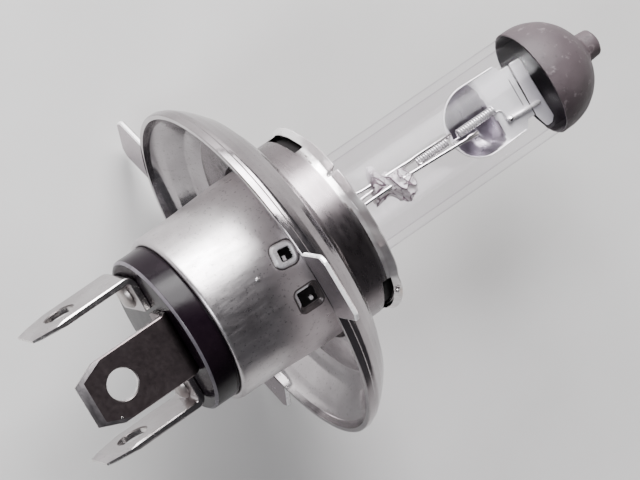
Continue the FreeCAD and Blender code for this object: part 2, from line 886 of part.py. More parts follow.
def make_foil(name, y):
    """Molybdenum foil sealed in the pinch."""
    foil = doc.addObject("Part::Box", name)
    foil.Label = name
    length = foil_front
    for prop, amount in (("Length", length), ("Width", size(2.0)), ("Height", g.foil_thick)):
        setattr(foil, prop, amount.value)
        foil.setExpression(prop, amount.text)
    place(foil, 0, y - 1.0, -0.5 * g.foil_thick)
    finished.append(foil)
    return foil


make_flange_ring()
make_base_shell()
make_front_collar()
make_insulator_disc()

make_terminal("terminal_top", size(0), g.top_blade_height, 0)
make_terminal("terminal_left", g.side_blade_offset, side_blade_height, -90)
make_terminal("terminal_right", -g.side_blade_offset, side_blade_height, 90)

rivet_spots = {
    "top": (size(0), g.top_blade_height - rivet_inset),
    "left": (g.side_blade_offset - rivet_inset, side_blade_height),
    "right": (rivet_inset - g.side_blade_offset, side_blade_height),
}
for side, (spot_y, spot_z) in rivet_spots.items():
    make_rivet("rivet_" + side, spot_y, spot_z)
    make_solder("solder_" + side, spot_y, spot_z)

lead_starts = {"top": size(0), "left": g.lead_spacing, "right": -g.lead_spacing}
for side, lead_y in lead_starts.items():
    spot_y, spot_z = rivet_spots[side]
    across = spot_y - lead_y
    run = root(across * across + spot_z * spot_z)
    angle = math.degrees(math.atan2(spot_z.value, across.value))
    make_outer_lead("outer_lead_" + side, lead_y, run, angle)
    make_foil("foil_" + side, lead_y)

make_holder_plate()
make_pinch_clamp()
make_glass_envelope()
make_glare_cap()
make_glass_bead()
make_beam_shield()
make_shield_post()
make_filament("driving_filament", g.driving_coil_start, g.driving_coil_length,
              g.driving_coil_turns, 1.0, common_flat_end - 0.1 - driving_coil_end)
make_dipped_filament()

lead_end = g.driving_coil_start - g.tail_length + 0.3
common_flat_start = g.driving_coil_start - 0.3
dipped_flat_start = g.dipped_coil_start + 0.3
make_lead("common_lead", g.lead_spacing, g.coil_radius, -g.common_lead_depth, common_flat_start,
          common_flat_start, common_flat_end, 0.2)
make_lead("dipped_lead", -g.lead_spacing, -g.coil_radius - 0.13, g.dipped_lead_height,
          dipped_flat_start, dipped_flat_start, dipped_flat_start + 1.1)
make_lead("driving_lead", size(0), 0.6 * g.coil_radius, size(0.02), lead_end)

doc.recompute()

os.makedirs("parts", exist_ok=True)
faults = []
for thing in doc.Objects:
    if "Invalid" in thing.State or "Error" in thing.State:
        faults.append("%s is in state %s" % (thing.Name, thing.State))
for part in finished:
    shape = part.Shape
    if shape.isNull() or not shape.isValid() or len(shape.Solids) != 1:
        faults.append("%s has a bad shape with %d solids" % (part.Label, len(shape.Solids)))
        continue
    shape.exportStep("parts/%s.step" % part.Label)
    box = shape.BoundBox
    print("%-18s x %.2f..%.2f y %.2f..%.2f z %.2f..%.2f vol %.1f" % (
        part.Label, box.XMin, box.XMax, box.YMin, box.YMax, box.ZMin, box.ZMax, shape.Volume))
for fault in faults:
    print("FAULT", fault)
if faults:
    raise RuntimeError("%d faults" % len(faults))
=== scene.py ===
import math

import bmesh
import bpy
from mathutils import Matrix, Vector, geometry, noise


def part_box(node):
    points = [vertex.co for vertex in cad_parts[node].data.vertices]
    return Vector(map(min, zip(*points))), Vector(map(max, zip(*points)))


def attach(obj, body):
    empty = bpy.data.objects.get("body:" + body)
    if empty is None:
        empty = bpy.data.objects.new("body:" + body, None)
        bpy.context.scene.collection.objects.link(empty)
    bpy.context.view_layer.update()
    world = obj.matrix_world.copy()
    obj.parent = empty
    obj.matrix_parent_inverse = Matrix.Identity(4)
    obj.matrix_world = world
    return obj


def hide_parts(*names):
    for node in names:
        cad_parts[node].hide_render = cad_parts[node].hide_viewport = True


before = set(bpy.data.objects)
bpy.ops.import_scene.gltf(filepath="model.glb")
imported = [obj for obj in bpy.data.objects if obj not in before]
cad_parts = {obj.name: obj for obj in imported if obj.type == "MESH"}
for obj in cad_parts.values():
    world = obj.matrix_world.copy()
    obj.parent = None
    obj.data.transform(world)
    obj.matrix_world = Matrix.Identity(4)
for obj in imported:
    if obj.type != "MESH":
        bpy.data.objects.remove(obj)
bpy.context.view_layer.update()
MM = 0.001


X, Y, Z = range(3)


def low(node, axis):
    """Lowest place of a CAD node along an axis, in millimetres."""
    return round(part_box(node)[0][axis] / MM, 3)


def high(node, axis):
    """Highest place of a CAD node along an axis, in millimetres."""
    return round(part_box(node)[1][axis] / MM, 3)


def add(name, data):
    """A new object in the scene."""
    obj = bpy.data.objects.new(name, data)
    bpy.context.scene.collection.objects.link(obj)
    return obj


# ------ materials

# Heights of surface relief, in metres.
GRAIN = 0.00004
PAINT_GRAIN = 0.00006
ASH = 0.00010
RIPPLE = 0.0002
DENT = 0.0006
QUARTZ_IOR = 1.50


def tree(name, kind="ShaderNodeBsdfPrincipled"):
    """A new material with one shader."""
    mat = bpy.data.materials.new(name)
    mat.use_nodes = True
    nodes = mat.node_tree.nodes
    nodes.clear()
    out = nodes.new("ShaderNodeOutputMaterial")
    shader = nodes.new(kind)
    mat.node_tree.links.new(shader.outputs[0], out.inputs[0])
    return mat, mat.node_tree, shader


def coords(nt, stretch=(1, 1, 1), shift=(0, 0, 0)):
    """Object coordinates; a small stretch draws the pattern out along that axis."""
    tex = nt.nodes.new("ShaderNodeTexCoord")
    mapping = nt.nodes.new("ShaderNodeMapping")
    mapping.inputs["Scale"].default_value = stretch
    mapping.inputs["Location"].default_value = shift
    nt.links.new(tex.outputs["Object"], mapping.inputs["Vector"])
    return mapping.outputs["Vector"]


def noise_tex(nt, vector, scale, detail=4.0, rough=0.6):
    """Cloudy pattern; scale is its number of patches in a metre."""
    node = nt.nodes.new("ShaderNodeTexNoise")
    node.inputs["Scale"].default_value = scale
    node.inputs["Detail"].default_value = detail
    node.inputs["Roughness"].default_value = rough
    nt.links.new(vector, node.inputs["Vector"])
    return node.outputs["Fac"]


def ramp(nt, fac, stops):
    """Colours by value, from (value, colour) stops."""
    node = nt.nodes.new("ShaderNodeValToRGB")
    elements = node.color_ramp.elements
    while len(elements) < len(stops):
        elements.new(0.5)
    for element, (pos, col) in zip(elements, stops):
        element.position = pos
        element.color = (*col, 1)
    nt.links.new(fac, node.inputs["Fac"])
    return node.outputs["Color"]


def spread(nt, fac, least, most, start=0.3, end=0.7):
    """Maps start..end onto least..most."""
    node = nt.nodes.new("ShaderNodeMapRange")
    node.inputs["From Min"].default_value = start
    node.inputs["From Max"].default_value = end
    node.inputs["To Min"].default_value = least
    node.inputs["To Max"].default_value = most
    nt.links.new(fac, node.inputs["Value"])
    return node.outputs["Result"]


def mix_col(nt, fac, a, b, mode="MIX"):
    """Mixes two colours; each input is a value or another node's output."""
    node = nt.nodes.new("ShaderNodeMix")
    node.data_type = "RGBA"
    node.blend_type = mode
    for value, socket in ((fac, 0), (a, 6), (b, 7)):
        if hasattr(value, "is_output"):
            nt.links.new(value, node.inputs[socket])
        else:
            node.inputs[socket].default_value = value
    return node.outputs[2]


def bump(nt, shader, height, strength, distance):
    """Surface relief from a pattern; distance is its height in metres."""
    node = nt.nodes.new("ShaderNodeBump")
    node.inputs["Strength"].default_value = strength
    node.inputs["Distance"].default_value = distance
    nt.links.new(height, node.inputs["Height"])
    nt.links.new(node.outputs["Normal"], shader.inputs["Normal"])


def surface(nt, shader, colour, pattern, rough):
    """Base colour, and a roughness that follows a pattern."""
    nt.links.new(colour, shader.inputs["Base Color"])
    nt.links.new(spread(nt, pattern, *rough), shader.inputs["Roughness"])


def metal(name, dark, light, rough, grain=(1, 1, 1), grain_scale=900, patch_scale=180,
          bump_strength=0.12, specks=0.0, shine=1.0):
    """Bare metal: patchy tone, directional grain and fine specks."""
    mat, nt, shader = tree(name)
    plain = coords(nt)
    along = coords(nt, grain)
    patch = noise_tex(nt, plain, scale=patch_scale, rough=0.55)
    fibre = noise_tex(nt, along, scale=grain_scale)
    colour = ramp(nt, patch, [(0.32, dark), (0.68, light)])
    if specks:
        dust = noise_tex(nt, plain, scale=2600, detail=2.0)
        mask = ramp(nt, dust, [(0.60, (0,) * 3), (0.72, (specks,) * 3)])
        colour = mix_col(nt, mask, colour, (0.05, 0.04, 0.05, 1))
    surface(nt, shader, colour, fibre, rough)
    shader.inputs["Metallic"].default_value = shine
    bump(nt, shader, fibre, bump_strength, GRAIN)
    return mat


def moulded(name, dark, light, rough, gloss, strength=0.25):
    """Moulded or painted surface: faint patches and a fine grain."""
    mat, nt, shader = tree(name)
    plain = coords(nt)
    patch = noise_tex(nt, plain, scale=220)
    grain = noise_tex(nt, plain, scale=1400)
    surface(nt, shader, ramp(nt, patch, [(0.3, dark), (0.7, light)]), patch, rough)
    shader.inputs["Specular IOR Level"].default_value = gloss
    bump(nt, shader, grain, strength, PAINT_GRAIN)
    return mat


# The flange is one metal in two tones: the outer dome darkened as painted shade, the inner dish
# lightened as a painted highlight.
flange_shaded_mat = metal("flange_painted_shade", (0.26, 0.235, 0.245), (0.36, 0.33, 0.34), (0.12, 0.22),
                   grain_scale=700, specks=0.35)
dish_lit_mat = metal("dish_painted_highlight", (0.44, 0.41, 0.42), (0.58, 0.55, 0.56), (0.10, 0.20),
                 grain_scale=700, specks=0.35)
shell_mat = metal("shell_metal", (0.50, 0.465, 0.475), (0.66, 0.63, 0.635), (0.27, 0.40),
                  grain=(0.25, 1, 1), grain_scale=1500, bump_strength=0.2, specks=0.45)
# The terminals are one metal: the top blade darkened as painted shade and a dark reflection, the
# side blades a lighter copy in painted light.
top_blade_shaded_mat = metal("blade_metal", (0.140, 0.112, 0.116), (0.185, 0.152, 0.156), (0.34, 0.41),
                  grain_scale=1900, patch_scale=420, bump_strength=0.05, specks=0.25)
side_blade_lit_mat = metal("side_blade_metal", (0.34, 0.31, 0.315), (0.46, 0.43, 0.435), (0.16, 0.28),
                 grain=(0.4, 1, 1), grain_scale=1900, bump_strength=0.08, specks=0.2)
# Painted highlight along the blade edges.
edge_highlight_mat = metal("blade_edge_painted_highlight", (0.66, 0.63, 0.62), (0.80, 0.77, 0.76), (0.18, 0.30),
                 grain_scale=1200, bump_strength=0.04)
bevel_mat = metal("blade_bevel_metal", (0.36, 0.33, 0.34), (0.50, 0.47, 0.48), (0.3, 0.48),
                  grain=(1, 0.3, 1), grain_scale=1500, bump_strength=0.2, specks=0.3)
rivet_mat = metal("rivet_metal", (0.34, 0.31, 0.30), (0.58, 0.54, 0.52), (0.28, 0.46))
solder_mat = metal("solder_metal", (0.56, 0.56, 0.57), (0.80, 0.80, 0.80), (0.18, 0.42),
                   grain_scale=500, bump_strength=0.4)
lead_mat = metal("lead_metal", (0.62, 0.59, 0.60), (0.82, 0.80, 0.80), (0.20, 0.34),
                 grain=(0.2, 1, 1), grain_scale=2200, bump_strength=0.05)
holder_mat = metal("holder_metal", (0.42, 0.40, 0.40), (0.68, 0.66, 0.65), (0.24, 0.42))
# The shield is one metal in painted light: a lit pale copy, a shaded copy for the bowl, a lit
# copy for the tab.
shield_lit_mat = metal("shield_metal", (0.90, 0.885, 0.91), (0.98, 0.975, 0.985), (0.34, 0.50),
                   grain=(1, 0.3, 1), grain_scale=1600, patch_scale=260, specks=0.12,
                   shine=0.25)
bowl_shaded_mat = metal("shield_bowl_painted_shade", (0.34, 0.31, 0.36), (0.50, 0.47, 0.52), (0.26, 0.40),
                 grain=(1, 0.3, 1), grain_scale=1600, patch_scale=260, specks=0.15)
tab_lit_mat = metal("shield_tab_painted_light", (0.80, 0.77, 0.82), (0.90, 0.88, 0.92), (0.34, 0.48),
                grain=(1, 0.3, 1), grain_scale=1600, bump_strength=0.05, shine=0.2)
tungsten_mat = metal("tungsten_metal", (0.66, 0.64, 0.66), (0.86, 0.85, 0.86), (0.26, 0.38),
                     bump_strength=0.03, shine=0.7)
foil_mat = metal("foil_metal", (0.44, 0.42, 0.43), (0.60, 0.58, 0.58), (0.3, 0.45))
disc_mat = moulded("disc_plastic", (0.004, 0.002, 0.004), (0.010, 0.006, 0.009),
                   (0.16, 0.26), gloss=0.12, strength=0.12)
# Painted highlight round the disc's rear edge.
disc_rim_highlight_mat = moulded("disc_rim_painted_highlight", (0.055, 0.048, 0.058), (0.16, 0.145, 0.165),
                       (0.22, 0.34), gloss=0.4, strength=0.12)
# Painted shade, near black, in hollows and gaps.
deep_shade_mat = moulded("recess_painted_shade", (0.004, 0.004, 0.004), (0.012, 0.010, 0.011), (0.5, 0.7),
                   gloss=0.1)
# Painted highlight: pale, mostly plain metal for edges and spots that catch the light.
highlight_mat = metal("painted_highlight_metal", (0.84, 0.81, 0.82), (0.95, 0.93, 0.94), (0.22, 0.36),
                   bump_strength=0.05, shine=0.30)
# Lug faces lightened as painted light where they sit in shade.
lug_face_lit_mat = metal("lug_face_painted_light", (0.36, 0.31, 0.335), (0.44, 0.39, 0.41), (0.16, 0.28),
                patch_scale=240, specks=0.25, shine=0.9)
# Painted shade for dark lines along creases, folds and gaps.
shade_line_mat = metal("painted_shade_line", (0.10, 0.09, 0.09), (0.18, 0.16, 0.16), (0.3, 0.5))


def collar_metal():
    """Nickel strip, its body darkened as painted shade, turning pale near its lip as a painted
    highlight, with heat colours there.
    """
    mat, nt, shader = tree("collar_strip")
    plain = coords(nt)
    along = coords(nt, (1, 0.3, 0.3))
    patch = noise_tex(nt, plain, scale=150)
    fibre = noise_tex(nt, along, scale=1500)
    base = ramp(nt, patch, [(0.3, (0.155, 0.135, 0.142)), (0.7, (0.225, 0.200, 0.208))])
    split = nt.nodes.new("ShaderNodeSeparateXYZ")
    nt.links.new(plain, split.inputs[0])
    # Towards the lip the strip turns pale as a painted highlight; the straw patch in the ramp is
    # a heat colour.
    lip_sheen_and_heat = spread(nt, split.outputs[0], 0.0, 0.85, 0.0094, 0.0106)
    spots = noise_tex(nt, plain, scale=260, detail=3.0)
    tint = ramp(nt, spots, [(0.30, (0.74, 0.71, 0.71)), (0.56, (0.80, 0.77, 0.76)),
                            (0.66, (0.74, 0.58, 0.46)), (0.80, (0.78, 0.75, 0.76))])
    colour = mix_col(nt, lip_sheen_and_heat, base, tint)
    surface(nt, shader, colour, fibre, (0.24, 0.34))
    shader.inputs["Metallic"].default_value = 1.0
    bump(nt, shader, fibre, 0.07, GRAIN)
    return mat


collar_mat = collar_metal()


def lip_highlight_metal():
    """Strip at the mouth of the collar, pale as a painted highlight, with straw-coloured heat
    patches.
    """
    mat, nt, shader = tree("lip_painted_highlight")
    plain = coords(nt)
    patch = noise_tex(nt, plain, scale=130, detail=3.0, rough=0.55)
    fibre = noise_tex(nt, plain, scale=700)
    colour = ramp(nt, patch, [(0.34, (0.50, 0.46, 0.47)), (0.45, (0.92, 0.90, 0.90)),
                              (0.60, (0.84, 0.81, 0.81)), (0.68, (0.78, 0.60, 0.47)),
                              (0.76, (0.70, 0.66, 0.67))])
    surface(nt, shader, colour, fibre, (0.12, 0.26))
    shader.inputs["Metallic"].default_value = 0.7
    bump(nt, shader, patch, 0.6, DENT)
    return mat


lip_highlight_mat = lip_highlight_metal()


def coat_paint():
    """Matt heat-proof paint with ash specks and rubbed spots."""
    mat, nt, shader = tree("coat_paint")
    plain = coords(nt)
    patch = noise_tex(nt, plain, scale=120, detail=5.0)
    colour = ramp(nt, patch, [(0.28, (0.042, 0.030, 0.035)), (0.55, (0.062, 0.046, 0.052)),
                              (0.78, (0.092, 0.072, 0.078))])
    dust = noise_tex(nt, plain, scale=900, detail=3.0, rough=0.65)
    mask = ramp(nt, dust, [(0.60, (0,) * 3), (0.70, (0.5,) * 3)])
    colour = mix_col(nt, mask, colour, (0.19, 0.16, 0.17, 1))
    aside = coords(nt, shift=(0.3, 0.1, 0.2))
    pits = noise_tex(nt, aside, scale=1300, detail=2.0)
    dark = ramp(nt, pits, [(0.62, (0,) * 3), (0.72, (0.6,) * 3)])
    colour = mix_col(nt, dark, colour, (0.03, 0.024, 0.026, 1))
    surface(nt, shader, colour, patch, (0.50, 0.72))
    bump(nt, shader, dust, 0.55, ASH)
    return mat


coat_mat = coat_paint()
coat_inside_mat = moulded("coat_inside", (0.010, 0.007, 0.012), (0.030, 0.020, 0.028),
                          (0.25, 0.45), gloss=0.5, strength=0.2)


def tube_glass():
    """Clear quartz that turns glossy at its edges."""
    mat, nt, mix = tree("quartz_clear", "ShaderNodeMixShader")
    clear = nt.nodes.new("ShaderNodeBsdfTransparent")
    gloss = nt.nodes.new("ShaderNodeBsdfGlossy")
    tint = noise_tex(nt, coords(nt), scale=40, detail=2.0, rough=0.5)
    gloss.inputs["Color"].default_value = (0.92, 0.90, 0.93, 1)
    edge = nt.nodes.new("ShaderNodeLayerWeight")
    edge.inputs["Blend"].default_value = 0.30
    body = ramp(nt, tint, [(0.3, (0.955, 0.945, 0.955)), (0.7, (0.985, 0.980, 0.985))])
    rim = ramp(nt, edge.outputs["Facing"], [(0.55, (1.0,) * 3), (1.0, (0.66, 0.64, 0.67))])
    nt.links.new(mix_col(nt, 1.0, body, rim, "MULTIPLY"), clear.inputs["Color"])
    amount = ramp(nt, edge.outputs["Facing"], [(0.0, (0.008,) * 3), (0.45, (0.022,) * 3),
                                               (0.8, (0.16,) * 3), (1.0, (0.60,) * 3)])
    haze = noise_tex(nt, coords(nt, (0.3, 1, 1)), scale=90, detail=3.0, rough=0.5)
    nt.links.new(spread(nt, haze, 0.06, 0.22), gloss.inputs["Roughness"])
    ripple = noise_tex(nt, coords(nt, (0.35, 1, 1)), scale=130, detail=2.0, rough=0.5)
    bump(nt, gloss, ripple, 0.10, RIPPLE)
    nt.links.new(amount, mix.inputs[0])
    nt.links.new(clear.outputs[0], mix.inputs[1])
    nt.links.new(gloss.outputs[0], mix.inputs[2])
    return mat


glass_mat = tube_glass()


def bead_glass(name, dark, light, through):
    """Pressed quartz, with cloudy cords in it; through is how much light it lets pass."""
    mat, nt, shader = tree(name)
    cords = noise_tex(nt, coords(nt), scale=900, detail=3.0)
    surface(nt, shader, ramp(nt, cords, [(0.3, dark), (0.7, light)]), cords, (0.02, 0.10))
    shader.inputs["Transmission Weight"].default_value = through
    shader.inputs["IOR"].default_value = QUARTZ_IOR
    bump(nt, shader, cords, 0.15, RIPPLE)
    return mat


bead_mat = bead_glass("quartz_bead", (0.90, 0.85, 0.88), (0.99, 0.97, 0.98), 0.32)
# Dark creases of the bead are painted shade.
crease_shade_mat = bead_glass("quartz_crease_painted_shade", (0.16, 0.11, 0.14), (0.30, 0.23, 0.27), 0.45)

# ------ meshes


def fix_normals(mesh):
    """Merge doubled corners and turn every face outwards."""
    bm = bmesh.new()
    bm.from_mesh(mesh)
    bmesh.ops.remove_doubles(bm, verts=bm.verts, dist=1e-7)
    bmesh.ops.recalc_face_normals(bm, faces=bm.faces)
    bm.to_mesh(mesh)
    bm.free()


def piece(name, verts, faces, mats, slot, nodes, sharp, face_mats=None):
    """One visible piece, from corners in millimetres; edges over sharp degrees stay crisp."""
    mesh = bpy.data.meshes.new(name)
    mesh.from_pydata([(x * MM, y * MM, z * MM) for x, y, z in verts], [], faces)
    mesh.validate()
    for mat in mats:
        mesh.materials.append(mat)
    if face_mats:
        mesh.polygons.foreach_set("material_index", face_mats)
    mesh.polygons.foreach_set("use_smooth", [True] * len(mesh.polygons))
    mesh.set_sharp_from_angle(angle=math.radians(sharp))
    mesh.update()
    obj = add(name, mesh)
    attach(obj, "root")
    if nodes:
        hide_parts(*nodes)
    fix_normals(mesh)


NEARLY_STRAIGHT = math.radians(89)


def rounded(points, radii, steps=5, closed=True):
    """A polyline with rounded corners, as far as the runs beside them allow."""
    out = []
    count = len(points)
    for i, p in enumerate(points):
        r = radii[i]
        if r <= 0 or (not closed and i in (0, count - 1)):
            out.append(tuple(p))
            continue
        p = Vector(p)
        a = Vector(points[i - 1]) - p
        b = Vector(points[(i + 1) % count]) - p
        la, lb = a.length, b.length
        a.normalize()
        b.normalize()
        half = a.angle(b) / 2
        if half > NEARLY_STRAIGHT:
            out.append(tuple(p))
            continue
        reach = min(r / math.tan(half), 0.48 * la, 0.48 * lb)
        r = reach * math.tan(half)
        centre = p + (a + b).normalized() * (r / math.sin(half))
        start = p + a * reach - centre
        end = p + b * reach - centre
        sweep = start.angle(end)
        for k in range(steps + 1):
            t = k / steps
            v = start * math.sin((1 - t) * sweep) + end * math.sin(t * sweep)
            out.append(tuple(centre + v / math.sin(sweep)))
    return out


def polar(x, r, phi):
    """A point at x along the bulb, r from its axis, phi round from the top."""
    return (x, r * math.sin(phi), r * math.cos(phi))


def lathe(profile, phis, wobble=None, closed_profile=True):
    """A turned solid from an (x, r) outline; wobble(x, r, phi, k) moves its corner k."""
    n, m = len(profile), len(phis)
    verts = []
    for phi in phis:
        for k, (x, r) in enumerate(profile):
            if wobble:
                x, r = wobble(x, r, phi, k)
            verts.append(polar(x, r, phi))
    faces = []
    for i in range(m):
        j = (i + 1) % m
        for k in range(n if closed_profile else n - 1):
            l = (k + 1) % n
            faces.append((i * n + k, i * n + l, j * n + l, j * n + k))
    return verts, faces


def turns(count):
    """Evenly spaced angles round a circle."""
    return [2 * math.pi * i / count for i in range(count)]


def join(*parts):
    """Several (corners, faces) pairs as one."""
    verts, faces = [], []
    for v, f in parts:
        base = len(verts)
        verts.extend(v)
        faces.extend(tuple(i + base for i in face) for face in f)
    return verts, faces


def smooth(t):
    """Soft step from 0 to 1."""
    t = max(0.0, min(1.0, t))
    return t * t * (3 - 2 * t)


def offset_outline(points, widths):
    """Outline moved inwards; widths[i] is for the edge from point i to the next."""
    count = len(points)
    area = sum(points[i][0] * points[(i + 1) % count][1] -
               points[(i + 1) % count][0] * points[i][1] for i in range(count))
    sign = 1 if area > 0 else -1
    lines = []
    for i in range(count):
        p, q = Vector(points[i]), Vector(points[(i + 1) % count])
        d = (q - p).normalized()
        normal = Vector((-d.y, d.x)) * sign
        lines.append((p + normal * widths[i], d))
    out = []
    for i in range(count):
        (p, d), (q, e) = lines[i - 1], lines[i]
        cross = d.x * e.y - d.y * e.x
        if abs(cross) < 1e-6:
            out.append(tuple(q))
        else:
            t = ((q.x - p.x) * e.y - (q.y - p.y) * e.x) / cross
            out.append(tuple(p + d * t))
    return out


def ring_faces(start, rows, count):
    """Faces between rings of count corners that follow each other."""
    faces = []
    for k in range(rows):
        for i in range(count):
            j = (i + 1) % count
            a = start + k * count
            faces.append((a + i, a + j, a + count + j, a + count + i))
    return faces


def ball_faces(rings, sides):
    """Faces of a ball: a first corner, rings of corners, and a last corner."""
    faces = []
    last = 1 + (rings - 2) * sides
    for j in range(sides):
        l = (j + 1) % sides
        faces.append((0, 1 + l, 1 + j))
        faces.append((last + sides, last + j, last + l))
        for i in range(rings - 2):
            a = 1 + i * sides
            faces.append((a + j, a + l, a + sides + l, a + sides + j))
    return faces


def rolled(outline, inner, thick, drops):
    """Four loops of a plate with rolled edges, as (u, v, height) corners."""
    return ([(u, v, 0.0) for u, v in inner] +
            [(u, v, drop) for (u, v), drop in zip(outline, drops)] +
            [(u, v, thick - drop) for (u, v), drop in zip(outline, drops)] +
            [(u, v, thick) for u, v in inner])


def plate(outline, thick, edge, drop):
    """Flat plate whose edges roll over by edge sideways and drop in height."""
    n = len(outline)
    inner = offset_outline(outline, [edge] * n)
    verts = rolled(outline, inner, thick, [drop] * n)
    faces = ring_faces(0, 3, n)
    for a, b, c in geometry.tessellate_polygon([[Vector((u, v, 0)) for u, v in inner]]):
        faces.append((a, b, c))
        faces.append((3 * n + a, 3 * n + c, 3 * n + b))
    return verts, faces


def tube(points, radius, sides, flat=None):
    """Wire along points; a pair of radii at a point makes it flat, the first along flat."""
    pts = [Vector(p) for p in points]
    count = len(pts)
    radii = radius if isinstance(radius, list) else [radius] * count
    side = Vector(flat) if flat else (pts[1] - pts[0]).orthogonal()
    verts = []
    for i, (p, r) in enumerate(zip(pts, radii)):
        t = (pts[min(i + 1, count - 1)] - pts[max(i - 1, 0)]).normalized()
        side = (side - t * side.dot(t)).normalized()
        up = t.cross(side)
        ra, rb = r if isinstance(r, tuple) else (r, r)
        for a in turns(sides):
            verts.append(tuple(p + side * (ra * math.cos(a)) + up * (rb * math.sin(a))))
    faces = ring_faces(0, count - 1, sides)
    faces.append(tuple(range(sides)))
    faces.append(tuple((count - 1) * sides + k for k in reversed(range(sides))))
    return verts, faces


def lump(centre, radii, seed, rough):
    """Small melted blob."""
    rings, sides = 14, 20
    cx, cy, cz = centre
    verts = [(cx - radii[0], cy, cz)]
    for i in range(1, rings):
        lat = math.pi * i / rings
        for lon in turns(sides):
            d = Vector((-math.cos(lat), math.sin(lat) * math.cos(lon),
                        math.sin(lat) * math.sin(lon)))
            k = 1 + rough * noise.noise(d * 1.7 + Vector((seed, seed * 0.7, 0)))
            verts.append((cx + radii[0] * d.x * k, cy + radii[1] * d.y * k,
                          cz + radii[2] * d.z * k))
    verts.append((cx + radii[0], cy, cz))
    return verts, ball_faces(rings, sides)


# ------ flange

# Sizes are in millimetres: x runs along the bulb, r is the distance from its axis.
SKIN = -low("flange_ring", X)  # the lugs are one skin thick, and their front is x = 0
DISH_FRONT = high("flange_ring", X)
RIM_R = 21.5
DISH_BORE = 11.65
LUG_ROOT = 20.95
LUG_CHAMFER = 0.9
LUGS = ((0.0, 4.2, 27.0), (137.0, 3.3, 26.3), (-137.0, 3.3, 26.3))  # angle, half width, reach


def make_flange():
    """Stamped dish with its locating rim, and three lugs whose edges carry a painted highlight;
    the outer dome is in painted shade, the inner dish and lug faces in painted light.
    """
    shaded_tone, highlight_tone, lit_lug_face, lit_inside = range(4)
    rim = rounded([(-SKIN, RIM_R - 0.1), (-0.5, RIM_R), (0.22, RIM_R), (0.42, RIM_R - 0.22)],
                  [0, 0.08, 0.06, 0], 3, closed=False)
    dome = rounded([rim[-1], (0.9, 21.22), (2.0, 20.35), (3.0, 19.35), (3.9, 18.3),
                    (4.3, 17.3)], [0, 0.8, 2.2, 2.2, 1.4, 0], 7, closed=False)
    front = rounded([dome[-1], (DISH_FRONT, 16.5), (DISH_FRONT, DISH_BORE)], [0, 0.5, 0], 6,
                    closed=False)
    outer = rim + dome[1:] + front[1:]
    back = DISH_FRONT - SKIN
    inner = rounded([(back, DISH_BORE), (back, 16.2), (3.7, 16.95), (3.2, 18.0), (2.3, 18.85),
                     (1.4, 19.75), (0.6, 20.7), (-SKIN, RIM_R - SKIN)],
                    [0, 0.35, 0.5, 0.9, 2.0, 2.2, 1.6, 0], 6, closed=False)
    profile = outer + inner
    ring = lathe(profile, turns(360))
    # Outer faces in the painted shade copy, inner faces in the painted highlight copy.
    tones = [shaded_tone if face[0] % len(profile) < len(outer) else lit_inside for face in ring[1]]
    parts = [ring]
    for angle, half, reach in LUGS:
        corner = half - LUG_CHAMFER
        shoulder = reach - LUG_CHAMFER
        end = reach - 0.1
        outline = rounded([(-half, LUG_ROOT), (half, LUG_ROOT), (half, shoulder), (corner, end),
                           (-corner, end), (-half, shoulder)], [0, 0, 0.6, 0.6, 0.6, 0.6])
        n = len(outline)
        verts, faces = plate(outline, SKIN, 0.16, 0.14)
        # Lug edges in painted highlight, lug faces in painted light.
        tones += [highlight_tone] * (2 * n) + [shaded_tone] * n + [lit_lug_face] * (len(faces) - 3 * n)
        turn = math.radians(angle)
        moved = []
        for u, v, w in verts:
            if v > RIM_R + 1:
                v = min(v, math.sqrt(max(reach * reach - u * u, 0)))
            y = u * math.cos(turn) + v * math.sin(turn)
            z = -u * math.sin(turn) + v * math.cos(turn)
            moved.append((w - SKIN, y, z))
        parts.append((moved, faces))
    piece("flange_dish_and_lugs", *join(*parts), [flange_shaded_mat, highlight_mat, lug_face_lit_mat, dish_lit_mat],
          "zinc_flange", ["flange_ring"], 40, tones)


make_flange()

# ------ shell

SHELL_R = 10.75
SHELL_SWELL = 0.30
PAD_X, PAD_ANGLE, PAD_TILT = 0.66, math.radians(14.0), math.radians(8)
PAD_HALF, PAD_CORNER, PAD_RISE = 1.36, 0.80, 0.42
HOLE_HALF, HOLE_CORNER, HOLE_DEPTH = 0.70, 0.20, 0.86
SUNK_X, SUNK_ANGLE = 0.70, math.radians(-16.5)
SUNK_HALF, SUNK_CORNER, SUNK_DEPTH = 1.46, 0.60, 0.40
DOT_X, DOT_ANGLE, DOT_R = -3.4, math.radians(10.6), 0.26


def rounded_square(u, v, half, corner):
    """Signed distance from a rounded square."""
    a = max(abs(u) - half + corner, 0.0)
    b = max(abs(v) - half + corner, 0.0)
    if a == 0.0 and b == 0.0:
        return max(abs(u), abs(v)) - half
    return math.hypot(a, b) - corner


def shell_radius(x):
    """Outer radius of the shell, which widens towards the flange."""
    return SHELL_R + SHELL_SWELL * smooth((x + 6.0) / 8.0)


